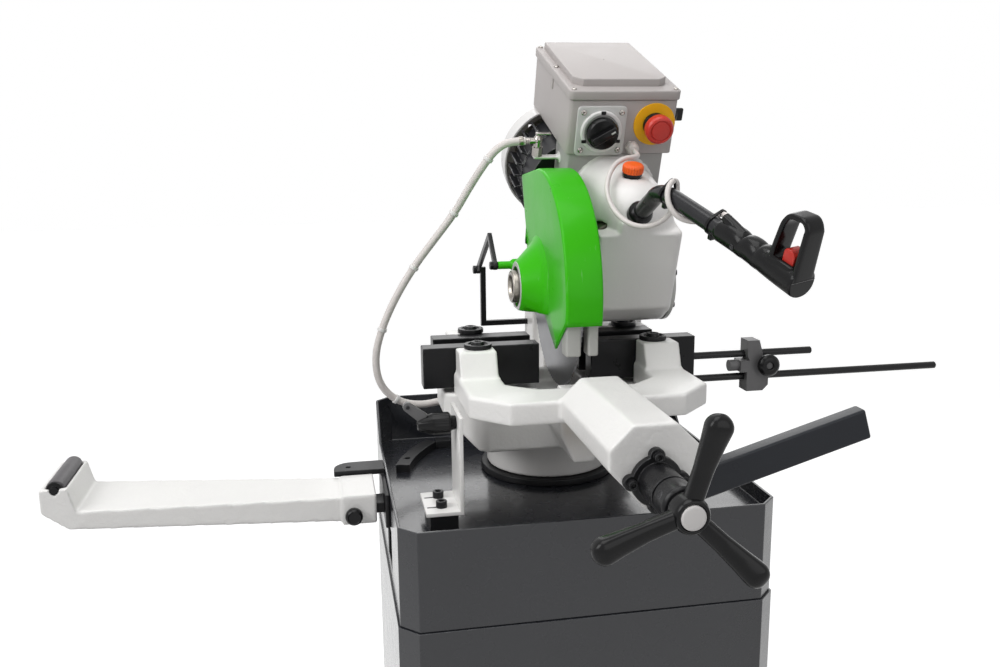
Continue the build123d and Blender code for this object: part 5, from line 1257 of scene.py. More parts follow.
@dataclass
class Guard(SubAssembly):
    """Blade, its hood with the hub and lug, the spindle nose and the deflectors."""

    rim: float = 0.157
    left: float = -0.027
    right: float = 0.020
    roll: float = 0.0034
    wall: float = 0.0028
    low_front: Pair = (-0.151, -0.028)
    corner: Pair = (0.098, 0.146)
    inner: tuple[Pair, ...] = ((-0.101, -0.066), (-0.039, -0.030), (0.064, -0.030), (0.064, 0.056))
    boss_clear: float = 0.0495
    hub_end: float = -0.056
    hub_floor: float = -0.030
    nose_radius: float = 0.022
    nose_end: float = -0.064
    nose_gap: float = 0.0055
    flange_radius: float = 0.042
    blade_half: float = 0.00125
    copies: Copies = (Copy("chip_deflectors", Coat.DEFLECTOR, 0.0025),)
    plain: Plain = (("blade", Coat.BLADE), ("worm_wheel", Coat.BRONZE))

    def model(self) -> None:
        """Makes the hood and the spindle."""
        self.hood()
        self.spindle()

    def rim_line(self) -> tuple[np.ndarray, np.ndarray]:
        """Rim of the hood in (y, z) about the blade centre: an arc, then a line.

        Returns:
            Its points and their outward normals.
        """
        first = math.atan2(self.low_front[1], self.low_front[0]) + FULL_TURN
        angle = np.linspace(first, QUARTER_TURN, 44)
        arc = self.rim * np.stack([np.cos(angle), np.sin(angle)], -1)
        line = np.linspace(arc[-1], self.corner, 14)[1:]
        slope = unit(line[-1] - arc[-1])
        turn = np.clip(np.linspace(0, 3, 13), 0, 1)[:, None]
        normals = (1 - turn) * np.array([0.0, 1.0]) + turn * np.array([-slope[1], slope[0]])
        return np.concatenate([arc, line]), np.concatenate([arc / self.rim, normals])

    def cheek(self, x: float, inward: float, end: np.ndarray) -> np.ndarray:
        """Half of the sheet, from the inner end of a cheek to the crown of the rim.

        The cheek is end + share (drawn - end), where drawn is the rim less its roll. The rolled edge is
        drawn + roll sin(turn) normal, moved inward by roll (1 - cos(turn)).

        Args:
            x: Where the cheek stands.
            inward: 1 or -1, toward the other cheek.
            end: Inner end of the cheek at each point of the rim, in (y, z).

        Returns:
            Points as (step, point of the rim, 3).
        """
        rim, normal = self.rim_line()
        drawn = rim - self.roll * normal
        share = np.linspace(0, 1, 6)[:-1, None, None]
        turn = np.linspace(0, QUARTER_TURN, 7)[:, None, None]
        flat = np.concatenate([end + share * (drawn - end), drawn + self.roll * np.sin(turn) * normal])
        shift = np.concatenate([0 * share, self.roll * (1 - np.cos(turn))])
        across = np.broadcast_to(x + inward * shift, flat.shape[:2] + (1,))
        return np.concatenate([across, flat], -1)

    def hood(self) -> None:
        """Sheet that runs up the left cheek, over the rim's rolled edges and down the right cheek."""
        rim = self.rim_line()[0]
        share = np.linspace(0, 1, len(rim))
        inner = np.array(self.inner)
        runs = np.concatenate([[0], np.cumsum(np.linalg.norm(np.diff(inner, axis=0), axis=1))])
        left_end = np.stack([np.interp(share * runs[-1], runs, inner[:, side]) for side in (0, 1)], -1)
        right_end = self.boss_clear * rim / np.linalg.norm(rim, axis=1, keepdims=True)
        left = self.cheek(self.left, 1.0, left_end)
        right = self.cheek(self.right, -1.0, right_end)
        rows = np.concatenate([left, right[::-1]]).transpose(1, 0, 2) + HEAD.origin
        sheet = grid_shell(rows, closed=False, capped=False)
        hood = stand_in("hood", [sheet], Coat.HOOD, sharp=60)
        modify(hood, "sheet", "SOLIDIFY", thickness=self.wall, offset=-1.0)
        self.hub()

    def hub(self) -> None:
        """Flared cone round the nose, cut flat below, with its lip, a black ring of painted shade in the gap round
        the nose, and the lug of the link.
        """
        left, end = self.left, self.hub_end
        bore = self.nose_radius + self.nose_gap
        profile = [(left + 0.001, bore), (left + 0.001, 0.070), (left - 0.001, 0.066), (left - 0.005, 0.0585)]
        profile += [(end + 0.003, 0.0372), (end, 0.0345), (end, bore)]
        cone = hollow_ring(profile, HEAD.origin, X, sides=96, soft=0.004)
        floor = HEAD.origin[2] + self.hub_floor
        seat = np.array([left, *LINK_LUG])
        long = left - node_box("hood")[0][0]
        lug = [(0, 0.0085), (long * 0.55, 0.0085), (long * 0.62, 0.0055), (long, 0.0055), (long, AXIS)]
        shells = [cone.clipped(2, floor), turned(lug, seat, -X, 32, soft=0.0015)]
        piece("hood_hub", shells, "hood", Coat.HOOD, sharp=50)
        rim = [(end - 0.0006, bore), (end - 0.0006, 0.0335), (end + 0.001, 0.034), (end + 0.001, bore)]
        lip = hollow_ring(rim, HEAD.origin, X, 96, soft=0.0002)
        piece("hub_lip", [lip.clipped(2, floor)], "hood", Coat.GREY_COVER)
        # A black ring set back in the gap between the nose and the cone paints the shade in that gap.
        inside = self.nose_radius + 0.0004
        gap_shade = [(end + 0.003, inside), (end + 0.003, bore), (end + 0.006, bore), (end + 0.006, inside)]
        washer = hollow_ring(gap_shade, HEAD.origin, X, 96, soft=0.0002)
        piece("hub_seal", [washer], "hood", Coat.BLACK_STEEL)

    def spindle(self) -> None:
        """Shaft with its flange, and the hollow nose with a thick lip, turned about the blade axis."""
        high = node_box("spindle")[1][0]
        nose, end = self.nose_radius, self.nose_end
        wide, half = self.flange_radius, self.blade_half
        profile = [(-0.006, 0.0145), (end + 0.004, 0.0145), (end, 0.0175), (end, nose - 0.0015)]
        profile += [(end + 0.0015, nose), (-0.012, nose), (-0.012, wide), (-half, wide), (-half, 0.016)]
        profile += [(half, 0.016), (half, wide), (0.012, wide), (0.012, 0.020), (high, 0.020)]
        stand_in("spindle", [turned(profile, HEAD.origin, X, 64)], Coat.STEEL)
        floor = [(-0.0055, 0.0144), (-0.0065, 0.0144), (-0.0065, AXIS)]
        piece("nose_floor", [turned(floor, HEAD.origin, X, 32, soft=0.0)], "spindle", Coat.BLACK_STEEL)


@dataclass
class Head(SubAssembly):
    """Gear case, motor and coolant valve."""

    neck_x: Pair = (0.0216, 0.1564)
    neck_u: Pair = (0.0816, 0.1504)
    neck_w: Pair = (0.060, 0.1556)
    cover_bolts: int = 6
    cover_radius: float = 0.053
    cover_turn: float = 0.3
    cover_screw: Pair = (0.0045, 0.0035)
    filler_radius: float = 0.0135
    filler_at: Place = (0.09, 0.008, 0.154)
    valve_at: Place = (-0.010, 0.129, 0.137)
    nipple_at: Place = (-0.010, 0.129, 0.158)
    copies: Copies = (
        Copy("gear_case", Coat.GREY_CAST, 0.0022, Edge.CAST, 16),
        Copy("motor_housing", Coat.FINS, 0.0006),
        Copy("fan_cover", Coat.COWL, 0.0008),
    )
    plain: Plain = (("spindle_bearings", Coat.STEEL), ("motor_rotor", Coat.STEEL))

    def model(self) -> None:
        """Makes the neck's sleeve, the round cover, the filler cap and the valve."""
        sleeve = block(self.neck_x, self.neck_u, self.neck_w, 0.0004, HEAD, 0.003)
        # The sleeve's darker grey is painted shade on the neck.
        piece("neck_sleeve", [sleeve], "head", Coat.NECK)
        self.cover()
        self.filler()
        self.valve()

    def cover(self) -> None:
        """Dished disc on the right of the case, with its ring of screws."""
        big = self.cover_radius
        face = node_box("gear_case_cover")[1][0]
        profile = [(face - 0.006, big), (face - 0.0012, big), (face, big - 0.0012), (face, big * 0.62)]
        profile += [(face - 0.0012, big * 0.58), (face - 0.0012, AXIS)]
        stand_in("gear_case_cover", [turned(profile, HEAD.origin, X, 72)], Coat.GREY_COVER)
        seat = HEAD.place([face, 0, 0])
        spots = ring_of(self.cover_bolts, big * 0.84, seat, HEAD.b, HEAD.c, self.cover_turn)
        screws = [cap_screw(spot, X, *self.cover_screw) for spot in spots]
        piece("cover_screws", screws, "head", Coat.BLACK_STEEL)

    def filler(self) -> None:
        """Fluted cap on a dark washer."""
        seat = HEAD.place(self.filler_at)
        big = self.filler_radius
        profile = [(0.0045, big * 0.94), (0.0058, big), (0.013, big), (0.0152, big * 0.86)]
        profile += [(0.0163, big * 0.6), (0.0163, AXIS)]
        cap = turned(profile, seat, HEAD.c, sides=144, lobes=24, swell=0.035, soft=0.0012)
        stand_in("filler_cap", [cap], Coat.ORANGE)
        washer = [(-0.006, big * 0.8), (0.0008, big * 0.8), (0.0008, big * 0.96)]
        washer += [(0.0042, big * 0.96), (0.0042, AXIS)]
        piece("filler_washer", [turned(washer, seat, HEAD.c)], "filler_cap", Coat.BLACK_STEEL)

    def valve(self) -> None:
        """Square-cut foot, slim body with a domed top, a barbed nipple to the hose and a small lever."""
        foot = HEAD.place(self.valve_at)
        body = [(0.012, 0.0056), (0.020, 0.0056), (0.0215, 0.0066), (0.0245, 0.0066)]
        body += [(0.0265, 0.0054), (0.029, 0.0036), (0.029, AXIS)]
        shells = [
            turned([(0, 0.0076), (0.0125, 0.0076), (0.0125, AXIS)], foot, HEAD.c, sides=8, soft=0.0),
            turned(body, foot, HEAD.c, sides=32),
        ]
        nipple = HEAD.place(self.nipple_at)
        barbs = [(0.002, 0.0044), (0.0115, 0.0044)]
        for index in range(3):
            barbs += [(0.0125 + 0.0022 * index, 0.0047), (0.0141 + 0.0022 * index, 0.0038)]
        shells.append(turned(barbs, nipple, -X, sides=28, soft=0.0002))
        stand_in("coolant_valve", shells, Coat.CHROME)
        pin = joint_at("coolant_turn")
        stem = turned([(-0.003, 0.0028), (0.0035, 0.0028), (0.0035, AXIS)], pin, HEAD.c, 20, soft=0.0004)
        across = Axes(pin, X, HEAD.b, HEAD.c)
        edge = [(-0.004, -0.0036), (0.010, -0.0026), (0.018, -0.0034)]
        outline = edge + [(u, -v) for u, v in edge[::-1]]
        arm = rounded_prism(outline, (0.0012, 0.0036), 0.0006, across, 0.002)
        stand_in("coolant_lever", [stem, arm], Coat.CHROME)


@dataclass
class ElectricalBox(SubAssembly):
    """Plastic box on the motor with its lid, switch, stop button and selector."""

    x: Pair = (0.018, 0.167)
    back: Pair = (0.080, 0.295)
    height: Pair = (0.156, 0.231)
    over: float = 0.0025
    lid_top: float = 0.244
    panel_x: Pair = (0.026, 0.156)
    panel_top: float = 0.254
    panel_clip: float = 0.012
    lid_screw: float = 0.0034
    plate_screw: float = 0.0038
    screw_pitch: float = 0.026
    switch_at: Pair = (0.062, 0.190)
    switch_half: float = 0.034
    switch_turn: float = 30.0
    stop_at: Pair = (0.137, 0.198)
    selector_at: Pair = (0.105, 0.203)

    def model(self) -> None:
        """Makes the box, its lid and the controls."""
        base = block(self.x, self.back, (self.height[0], self.height[1] - 0.0006), 0.0012, HEAD, 0.006)
        stand_in("box_base", [base], Coat.BOX)
        self.lid()
        self.switch()
        self.stop_button()
        self.selector()

    def lid(self) -> None:
        """Overhanging flange and raised panel with rolled rims, its screws and dot, and a boss beside it."""
        x = (self.x[0] - self.over, self.x[1] + self.over)
        back = (self.back[0] - self.over, self.back[1] + self.over)
        flange = block(x, back, (self.height[1], self.lid_top), 0.002, HEAD, 0.008)
        front, rear, clip = self.back[0] + 0.018, self.back[1] - 0.012, self.panel_clip
        low, high = self.panel_x
        outline = [(low, front + clip), (low + clip, front), (high - clip, front), (high, front + clip)]
        outline += [(high, rear), (low, rear)]
        panel = rounded_prism(outline, (self.lid_top - 0.004, self.panel_top), 0.0012, HEAD, 0.0015)
        stand_in("box_lid", [flange, panel], Coat.BOX)
        rows = (back[0] + 0.0075, sum(back) / 2, back[1] - 0.007)
        spots = [HEAD.place([u, v, self.lid_top]) for u in (x[0] + 0.007, x[1] - 0.0065) for v in rows]
        screws = [self.cross_screw(spot, HEAD.c, self.lid_screw) for spot in spots]
        piece("lid_screws", screws, "head", Coat.CHROME)
        spot = HEAD.place([(low + high) / 2, (front + rear) / 2, self.panel_top])
        dot = turned([(-0.0005, 0.0009), (0.0002, 0.0009), (0.0002, AXIS)], spot, HEAD.c, 12)
        piece("lid_dot", [dot], "head", Coat.PUMP)
        boss = Axes(HEAD.place([self.x[0], sum(back) / 2, self.height[1]]), HEAD.b, HEAD.c, -X)
        pad = block((-0.008, 0.008), (-0.016, 0.0), (-0.001, 0.0014), 0.0006, boss, 0.001)
        piece("box_boss", [pad], "head", Coat.BOX)

    @staticmethod
    def cross_screw(seat: np.ndarray, axis: np.ndarray, radius: float) -> Shell:
        """Pan head with a recess sunk in its top."""
        profile = radius * np.array([(0, 1), (0.35, 1), (0.6, 0.62), (0.6, 0.4), (0.15, 0.12)])
        return turned(profile, seat, axis, sides=32, soft=radius * 0.1)

    def switch(self) -> None:
        """Plate with rounded corners, a raised ring, four screws and the knob with its bar."""
        x, w = self.switch_at
        half = self.switch_half
        face = self.back[0] - 0.005
        across = HEAD.ordered("acb")
        plate = block((x - half, x + half), (w - half, w + half), (face, self.back[0]), 0.0012, across, 0.007)
        centre = HEAD.place([x, face, w])
        ring = [(0, 0.0285), (0.003, 0.0285), (0.0042, 0.0272), (0.0042, 0.0235)]
        ring += [(0.001, 0.0228), (0.001, AXIS)]
        stand_in("switch_plate", [plate], Coat.SWITCH)
        piece("switch_ring", [turned(ring, centre, -BACK, 64)], "head", Coat.COWL)
        apart = self.screw_pitch
        spots = [HEAD.place([u, face, v]) for u in (x - apart, x + apart) for v in (w - apart, w + apart)]
        screws = [self.cross_screw(spot, -BACK, self.plate_screw) for spot in spots]
        piece("switch_screws", screws, "head", Coat.CHROME)
        knob = [(0.0045, AXIS), (0.0045, 0.0215), (0.012, 0.0215), (0.0155, 0.0195), (0.0155, AXIS)]
        turn = math.radians(self.switch_turn)
        level = math.cos(turn) * X + math.sin(turn) * HEAD.c
        tilted = Axes(centre, level, math.cos(turn) * HEAD.c - math.sin(turn) * X, -BACK)
        bar = block((-0.0185, 0.0185), (-0.0055, 0.0055), (0.010, 0.0242), 0.0016, tilted, 0.004)
        notch = block((0.009, 0.015), (-0.0011, 0.0011), (0.02, 0.0246), 0.0003, tilted)
        stand_in("main_switch_knob", [turned(knob, centre, -BACK, 56), bar], Coat.BLACK_PLASTIC)
        piece("switch_pointer", [notch], "main_switch_knob", Coat.SWITCH)
        tabs = []
        for a, b in ((0.0, 0.0265), (0.0235, -0.0125), (-0.0235, -0.0125)):
            spot = Axes(HEAD.place([x + a, face, w + b]), X, HEAD.c, -BACK)
            tabs.append(block((-0.0032, 0.0032), (-0.0022, 0.0022), (0.003, 0.0052), 0.0005, spot, 0.001))
        piece("switch_ring_tabs", tabs, "head", Coat.BLACK_PLASTIC)

    def stop_button(self) -> None:
        """Yellow disc, dark collar and a red mushroom with a groove in its crown."""
        x, w = self.stop_at
        centre = HEAD.place([x, self.back[0], w])
        disc = [(0, 0.029), (0.0016, 0.029), (0.002, 0.0285), (0.002, AXIS)]
        collar = [(0.002, 0.0085), (0.002, 0.0165), (0.006, 0.0165), (0.0075, 0.014)]
        collar += [(0.010, 0.014), (0.010, 0.0085)]
        stand_in("estop_plate", [turned(disc, centre, -BACK, 64)], Coat.YELLOW)
        piece("estop_collar", [hollow_ring(collar, centre, -BACK, 48)], "head", Coat.BLACK_PLASTIC)
        crown = [(0.0086, 0.008), (0.0153, 0.008), (0.0153, 0.0178), (0.0165, 0.019), (0.026, 0.0192)]
        crown += [(0.0292, 0.0172), (0.0303, 0.0145), (0.0286, 0.0138), (0.0286, 0.0128)]
        crown += [(0.0300, 0.0122), (0.0302, AXIS)]
        stand_in("estop_button", [turned(crown, centre, -BACK, 56, soft=0.0005)], Coat.RED)

    def selector(self) -> None:
        """Collar and a wing knob on the right side."""
        u, w = self.selector_at
        centre = HEAD.place([self.x[1], u, w])
        base = [(-0.003, 0.004), (0.0005, 0.004), (0.0005, 0.0105), (0.006, 0.0105)]
        base += [(0.008, 0.0088), (0.008, AXIS)]
        outward = Axes(centre, HEAD.b, HEAD.c, X)
        wing = block((-0.0034, 0.0034), (-0.0088, 0.0088), (0.006, 0.0182), 0.0014, outward, 0.0025)
        stand_in("selector_knob", [turned(base, centre, X, 36), wing], Coat.BLACK_PLASTIC)


@dataclass
class Handle(SubAssembly):
    """Bent tube turned outward at its bend, grip with its guard loop, and trigger."""

    tube_radius: float = 0.0105
    lead_radius: float = 0.0033
    socket: Place = (0.084, -0.046, 0.119)
    bend: Place = (0.084, -0.114, 0.185)
    grip_start: Place = (0.1214, -0.2248, 0.1807)
    grip_end: Place = (0.1594, -0.3375, 0.1763)
    sleeve: float = 0.008
    hollows_at: Pair = (0.033, 0.058)
    hollow_half: float = 0.0058
    hollow_deep: float = 0.0034
    strap_half: float = 0.011
    strap_thick: float = 0.0032
    trigger_run: Pair = (0.092, 0.108)
    trigger_half: float = 0.0078
    trigger_room: float = 0.0005
    pocket_floor: float = 0.0065
    grip_screw: Pair = (0.003, 0.0012)
    tie_sizes: Sizes = (0.0001, 0.0015, 0.0018)
    ties_at: Route = ((0.012, 18.0, 0.0145), (0.097, -321.0, 0.0155))
    strap_line: ClassVar[tuple[Pair, ...]] = (
        (0.078, 0.006), (0.085, 0.056), (0.0905, 0.0645), (0.110, 0.067), (0.1165, 0.060),
        (0.1165, 0.004),
    )

    def axes(self, start: Place) -> Axes:
        """Axes along the tube and grip: along, to the right, and up.

        Args:
            start: Their origin, in the head's axes.

        Returns:
            The axes.
        """
        along = unit(HEAD.place(self.grip_end) - HEAD.place(self.grip_start))
        up = unit(np.cross(along, X))
        return Axes(HEAD.place(start), along, np.cross(up, along), up)

    def model(self) -> None:
        """Makes the tube with its socket collar, the ties, the grip and the trigger."""
        start, bend, end = (HEAD.place(place) for place in (self.socket, self.bend, self.grip_start))
        corner = softened(np.stack([start, bend, end]), 0.024, steps=14)
        tube = round_tube(refined(corner, 8, 16), self.tube_radius, 36)
        stand_in("handle_tube", [tube], Coat.TUBE, sharp=60)
        rise = unit(bend - start)
        big = self.tube_radius * 1.5
        collar = [(-0.004, big), (0.006, big), (0.009, big * 0.88), (0.012, big * 0.71), (0.012, big * 0.6)]
        nut = turned(collar, start + rise * 0.012, rise, 40)
        piece("handle_socket_collar", [nut], "head", Coat.BLACK_PLASTIC)
        shells = [shell for tie in self.ties_at for shell in self.tie(*tie)]
        piece("cable_ties", shells, "head", Coat.BLACK_PLASTIC)
        self.grip()
        self.trigger()

    def tie(self, distance: float, angle: float, lift: float) -> list[Shell]:
        """Cable tie round the tube and the lead: at each normal, the circle that reaches further.

        Args:
            distance: Place along the tube from its bend.
            angle: Turn of the lead from the top of the tube, in degrees.
            lift: Distance of the lead from the tube's middle.

        Returns:
            The band and its block.
        """
        axes = self.axes(self.bend)
        normal = circle(72)[:, ::-1]
        lead = lift * np.array([math.sin(math.radians(angle)), math.cos(math.radians(angle))])
        further = normal @ lead + self.lead_radius > self.tube_radius
        centre = np.where(further[:, None], lead, 0.0)
        radius = np.where(further, self.lead_radius, self.tube_radius)
        low, high, half = self.tie_sizes
        section = np.array([(-half, low), (-half, high), (half, high), (half, low), (-half, low)])
        along, grow = section.T[:, :, None]
        flat = centre + (radius + grow)[..., None] * normal
        level = np.broadcast_to((distance + along)[..., None], flat.shape[:2] + (1,))
        band = grid_shell(axes.place(np.concatenate([level, flat], -1)), capped=False)
        spot = Axes(axes.place([distance, 0, -self.tube_radius]), axes.a, axes.b, -axes.c)
        return [band, block((-0.003, 0.003), (-0.0032, 0.0032), (0.0005, 0.0075), 0.0008, spot, 0.001)]

    def grip(self) -> None:
        """Grip: an oval carried along, flared to its end, with two finger hollows; and its guard strap."""
        axes = self.axes(self.grip_start)
        long = float(np.linalg.norm(HEAD.place(self.grip_end) - axes.origin))
        s = np.concatenate([np.linspace(-self.sleeve, long - 0.003, 72), [long - 0.001, long]])
        stations = [-self.sleeve, -self.sleeve + 0.003, 0.02, 0.045, 0.07, 0.095, long - 0.002, long]
        half = np.interp(s, stations, [0.0116, 0.0127, 0.0129, 0.0134, 0.0146, 0.0159, 0.0166, 0.0157])
        rise = 0.0028 * np.clip((s + 0.004) / 0.014, 0, 1) * np.clip((0.085 - s) / 0.02, 0, 1)
        hollows = np.exp(-(((s[:, None] - self.hollows_at) / self.hollow_half) ** 2))
        top = rise - self.hollow_deep * hollows.sum(1)
        path = axes.place(np.stack([s, np.zeros_like(s), top / 2], -1))
        body = carried(path, oval(2.2, 48), np.stack([half, half + top / 2], -1), up=axes.c)
        line = refined(softened(self.strap_line, 0.012, steps=8), 6, 6)
        loop = axes.place(np.stack([line[:, 0], np.zeros(len(line)), line[:, 1]], -1))
        run = np.linspace(0, 1, len(loop))
        wide = np.interp(run, [0, 0.25, 0.8, 1], [0.0125, self.strap_half, self.strap_half, 0.0135])
        size = np.stack([np.full(len(loop), self.strap_thick), wide], -1)
        strap = carried(loop, oval(5.0), size, up=axes.b)
        entry = axes.place(np.array([[-0.004, 0, 0.0168], [0.010, 0, 0.0145], [0.028, 0, 0.0105]]))
        boss = round_tube(entry, 0.0052, 20)
        deck = block((0.071, long - 0.006), (-0.0125, 0.0125), (0.006, 0.0163), 0.0022, axes, 0.006)
        grip = stand_in("handle_grip", [body, deck, strap, boss], Coat.BLACK_PLASTIC, sharp=50)
        low, high = self.trigger_run
        room, reach = self.trigger_room, self.trigger_half + self.trigger_room
        pocket = (self.pocket_floor, 0.03)
        cut(grip, block((low - room, high + room), (-reach, reach), pocket, 0.0002, axes))
        # The grey lines across the grip's end paint the highlight along its parting edge.
        seam_highlights = [self.seam(axes, long, 0.0028, 0.0155), self.seam(axes, long, 0.0138, 0.0085)]
        piece("grip_end_seams", seam_highlights, "head", Coat.LEVER_GREY)
        spots = [(axes.place([0.026, side * 0.0125, -0.002]), side * axes.b) for side in (-1, 1)]
        screws = [cap_screw(spot, side, *self.grip_screw) for spot, side in spots]
        piece("grip_screws", screws, "head", Coat.BLACK_STEEL)

    @staticmethod
    def seam(axes: Axes, long: float, level: float, half: float) -> Shell:
        """Thin raised line across the flat end of the grip."""
        spot = Axes(axes.place([long, 0, level]), axes.b, axes.c, axes.a)
        return block((-half, half), (-0.0004, 0.0004), (-0.001, 0.0005), 0.0002, spot)

    def trigger(self) -> None:
        """Red block with a finger step: an outline in the grip's plane with rolled rims."""
        low, high = self.trigger_run
        outline = [(low, 0.0112), (low, 0.0268), (low + 0.003, 0.0305), (low + 0.0105, 0.0305)]
        outline += [(high, 0.0255), (high, 0.0112)]
        across = self.axes(self.grip_start).ordered("acb")
        half = self.trigger_half
        stand_in("trigger", [rounded_prism(outline, (-half, half), 0.0012, across, 0.002)], Coat.RED)


@dataclass
class Cords(SubAssembly):
    """Coolant hose between the turntable and the valve, with its ties, and the lead of the grip."""

    hose_radius: float = 0.0055
    lead_radius: float = 0.0033
    valve_end: Place = (-0.0285, 0.129, 0.158)
    hose_lead: float = 0.022
    tie: float = 0.0017
    tie_half: float = 0.0024
    steps: int = 8
    tie_places: Route = (
        (-0.078, 0.020, 1.244), (-0.126, 0.045, 1.167), (-0.182, 0.060, 1.093), (-0.230, 0.070, 1.002),
        (-0.213, 0.077, 0.890),
    )
    hose_points: Route = (
        (-0.070, 0.015, 1.256), (-0.087, 0.025, 1.232), (-0.105, 0.036, 1.202), (-0.124, 0.045, 1.168),
        (-0.153, 0.054, 1.130), (-0.183, 0.060, 1.091), (-0.211, 0.066, 1.045), (-0.232, 0.070, 0.999),
        (-0.243, 0.072, 0.957), (-0.238, 0.074, 0.916), (-0.213, 0.077, 0.888), (-0.178, 0.080, 0.878),
        (-0.139, 0.084, 0.883), (-0.098, 0.090, 0.890), (-0.012, 0.090, 0.890),
    )
    lead_points: Route = (
        (0.109, 0.066, 0.166), (0.109, 0.053, 0.166), (0.106, 0.040, 0.168), (0.097, 0.031, 0.170),
        (0.082, 0.0255, 0.171), (0.065, 0.013, 0.167), (0.051, -0.009, 0.157), (0.045, -0.032, 0.146),
        (0.047, -0.055, 0.136), (0.056, -0.076, 0.129), (0.071, -0.092, 0.127), (0.088, -0.101, 0.133),
        (0.102, -0.106, 0.147), (0.108, -0.109, 0.166),
    )
    lead_wrap: Route = (
        (78, 0.003, 0.0215), (50, 0.007, 0.0190), (18, 0.012, 0.0168), (-17, 0.018, 0.0156),
        (-56, 0.026, 0.0153), (-100, 0.036, 0.0153), (-147, 0.048, 0.0153), (-194, 0.060, 0.0153),
        (-239, 0.072, 0.0153), (-282, 0.084, 0.0156), (-321, 0.097, 0.0162), (-350, 0.116, 0.0170),
    )

    @staticmethod
    def line(points: Sequence[Any], steps: int) -> np.ndarray:
        """Points along a smooth curve of order 3 that starts and ends at its end points.

        Args:
            points: Control points.
            steps: Points for each control point.

        Returns:
            The points of the line.
        """
        data = bpy.data.curves.new("route", "CURVE")
        data.dimensions = "3D"
        spline = data.splines.new("NURBS")
        spline.points.add(len(points) - 1)
        for spot, point in zip(spline.points, points):
            spot.co = (*point, 1.0)
        spline.order_u = 3
        spline.use_endpoint_u = True
        spline.resolution_u = steps
        route = new_object("route", data)
        bpy.context.view_layer.update()
        found = mesh_points(baked(route))
        bpy.data.objects.remove(route)
        return found

    @staticmethod
    def length(path: np.ndarray) -> float:
        """Length of a line of points."""
        return float(np.linalg.norm(np.diff(path, axis=0), axis=1).sum())

    def model(self) -> None:
        """Makes the hose with its ties and clip, and the grip's lead with its gland."""
        self.hose()
        self.lead()

    def hose(self) -> None:
        """Hose that leaves the nipple level, hangs in a bow and runs into the turntable's fitting."""
        start = HEAD.place(self.valve_end)
        points = [start, start - X * self.hose_lead, *self.hose_points]
        path = self.line(points, self.steps)
        tube = round_tube(path, self.hose_radius, 20)
        hose = piece("coolant_hose_shown", [tube], None, Coat.CABLE, ["coolant_hose"], 70)
        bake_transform(hose)
        self.ties(path, start)
        grow = self.hose_radius + 0.0009
        clip = [(0.003, self.hose_radius), (0.003, grow), (0.009, grow), (0.009, self.hose_radius)]
        piece("hose_clip", [turned(clip, start, -X, 36, soft=0.0003)], "head", Coat.STEEL)

    def ties(self, path: np.ndarray, start: np.ndarray) -> None:
        """Flat rings on the hose, each square to the line where it comes nearest to a given place.

        Args:
            path: Line of the hose.
            start: Its end at the valve; not used.
        """
        inner, outer, half = self.hose_radius, self.hose_radius + self.tie, self.tie_half
        band = [(-half, inner), (-half, outer), (half, outer), (half, inner)]
        shells = []
        for place in self.tie_places:
            index = int(np.argmin(np.linalg.norm(path - np.array(place), axis=1)))
            along = path[index + 1] - path[index - 1]
            shells.append(hollow_ring(band, path[index], along, 32, soft=0.0003))
        ties = piece("hose_ties", shells, None, Coat.COWL)
        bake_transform(ties)

    def lead(self) -> None:
        """Lead from the gland in a loose loop, wound round the tube and into the grip."""
        handle = Handle()
        axes = handle.axes(handle.bend)
        angle, distance, lift = np.array(self.lead_wrap).T
        turn = np.radians(angle)
        wrap = axes.place(np.stack([distance, lift * np.sin(turn), lift * np.cos(turn)], -1))
        points = [*HEAD.place(self.lead_points), *wrap]
        path = self.line(points, self.steps)
        lead = stand_in("control_cable", [round_tube(path, self.lead_radius, 16)], Coat.CABLE, 70)
        seat = HEAD.place([self.lead_points[0][0], 0.080, self.lead_points[0][2]])
        nut = [(0, 0.0098), (0.005, 0.0098), (0.005, AXIS)]
        dome = [(0.004, 0.0084), (0.010, 0.0082), (0.0145, 0.0062), (0.0145, 0.0040)]
        shells = [turned(nut, seat, -BACK, 6, soft=0.0), turned(dome, seat, -BACK, 36, 12, 0.02, 0.001)]
        piece("cable_gland", shells, "head", Coat.CABLE)


def stand_at(thing: Thing, place: Place, right: np.ndarray, up: np.ndarray, ahead: np.ndarray) -> None:
    """Puts a lamp or camera at a place.

    Args:
        thing: The lamp or camera.
        place: Where it stands.
        right: Direction to its right.
        up: Direction above it.
        ahead: Direction in which it looks.
    """
    matrix = np.eye(4)
    matrix[:3, :3] = np.stack([right, up, -ahead], 1)
    matrix[:3, 3] = place
    thing.matrix_world = Matrix(matrix.tolist())


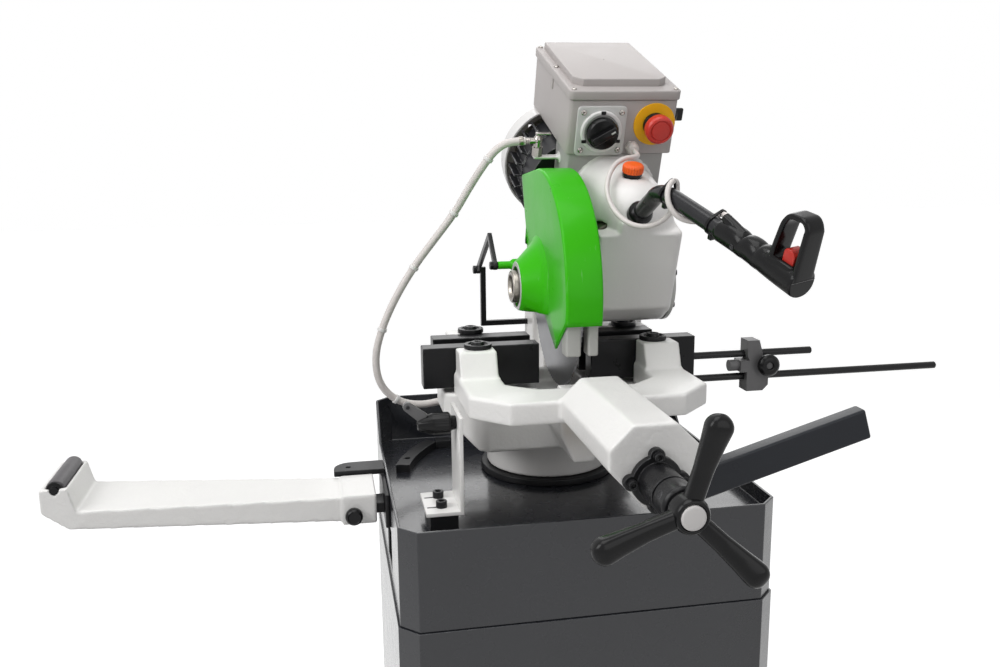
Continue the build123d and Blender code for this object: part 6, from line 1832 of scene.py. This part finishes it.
@dataclass
class Studio:
    """Pale floor, soft light and the camera."""

    place: Place = (-0.3129, -1.3111, 1.2706)
    yaw: float = 10.5627
    pitch: float = 11.4931
    roll: float = -0.5932
    lens: float = 34.43
    sky: float = 0.22
    floor_glow: float = 0.8
    floor_half: float = 14.0
    floor_roughness: float = 0.7
    sensor: float = 36.0

    def build(self) -> None:
        """Makes the floor, world, lamps and camera."""
        bpy.context.scene.view_settings.view_transform = "Standard"
        self.floor()
        self.world()
        self.lamp("top", (-0.3, -0.5, 3.1), (0.0, -0.1, 1.0), 1.6, 24.0)
        self.lamp("left", (-2.2, -1.0, 2.5), (0.0, -0.1, 1.0), 1.6, 45.0)
        self.lamp("fill", (1.0, -2.8, 1.9), (0.1, -0.1, 0.95), 2.2, 17.0)
        self.lamp("rim", (0.6, 2.4, 2.6), (0.0, 0.0, 1.0), 2.0, 18.0)
        self.camera()

    def floor(self) -> None:
        """Large pale plane under the stand."""
        mesh = bpy.data.meshes.new("floor")
        wide = self.floor_half
        corners = [(-wide, -wide, 0), (wide, -wide, 0), (wide, wide, 0), (-wide, wide, 0)]
        mesh.from_pydata(corners, [], [(0, 1, 2, 3)])
        floor = new_object("floor", mesh)
        made = bpy.data.materials.new("pale_floor")
        made.use_nodes = True
        tree = Tree(made.node_tree)
        inputs = {
            "Base Color": (0.5, 0.5, 0.5, 1.0),
            "Roughness": self.floor_roughness,
            "Emission Color": WHITE,
            "Emission Strength": tree.math("MULTIPLY", self.seen(tree), self.floor_glow),
        }
        tree.fill(made.node_tree.nodes["Principled BSDF"], inputs)
        mesh.materials.append(made)

    @staticmethod
    def seen(tree: Tree) -> Any:
        """Tells what is looked at from what only lights a surface.

        Args:
            tree: Tree of the material or world.

        Returns:
            Socket that is 1 for what the camera, gloss and glass see, and else 0.
        """
        path = tree.add("ShaderNodeLightPath")
        straight = tree.math("MAXIMUM", path.outputs["Is Camera Ray"], path.outputs["Is Transmission Ray"])
        return tree.math("MAXIMUM", straight, path.outputs["Is Glossy Ray"])

    def world(self) -> None:
        """Even sky that the camera, gloss and glass see as white."""
        world = bpy.data.worlds.new("studio")
        bpy.context.scene.world = world
        world.use_nodes = True
        tree = Tree(world.node_tree)
        strength = tree.math("MAXIMUM", self.seen(tree), self.sky)
        tree.fill(world.node_tree.nodes["Background"], {"Strength": strength, "Color": WHITE})

    @staticmethod
    def lamp(name: str, place: Place, aim: Place, size: float, power: float) -> None:
        """Square soft lamp that points at a place.

        Args:
            name: Name of the lamp.
            place: Where it stands.
            aim: Where it points.
            size: Side of the square.
            power: Its power in watts.
        """
        data = bpy.data.lights.new(name, "AREA")
        data.shape = "SQUARE"
        data.size = size
        data.energy = power
        lamp = new_object(name, data)
        toward = unit(np.array(aim) - np.array(place))
        side = unit(np.cross(toward, Z))
        stand_at(lamp, place, side, np.cross(side, toward), toward)

    def camera(self) -> None:
        """Camera turned right by its yaw, down by its pitch, then rolled."""
        yaw, pitch, roll = (math.radians(value) for value in (self.yaw, self.pitch, self.roll))
        ahead = np.array([math.sin(yaw) * math.cos(pitch), math.cos(yaw) * math.cos(pitch), -math.sin(pitch)])
        level = np.array([math.cos(yaw), -math.sin(yaw), 0.0])
        above = np.cross(level, ahead)
        right = level * math.cos(roll) + above * math.sin(roll)
        up = above * math.cos(roll) - level * math.sin(roll)
        data = bpy.data.cameras.new("camera")
        data.sensor_width = self.sensor
        data.lens = self.lens
        camera = new_object("camera", data)
        stand_at(camera, self.place, right, up, ahead)
        bpy.context.scene.camera = camera


def main() -> None:
    """Builds the studio, then each part of the saw."""
    logging.basicConfig(level=logging.INFO, format="%(message)s")
    Studio().build()
    kinds = (Cords, Stand, TrayFittings, Vise, LengthStop, SupportArm)
    for kind in kinds + (Turntable, Guard, Head, ElectricalBox, Handle):
        kind().build()


if __name__ == "__main__":
    main()
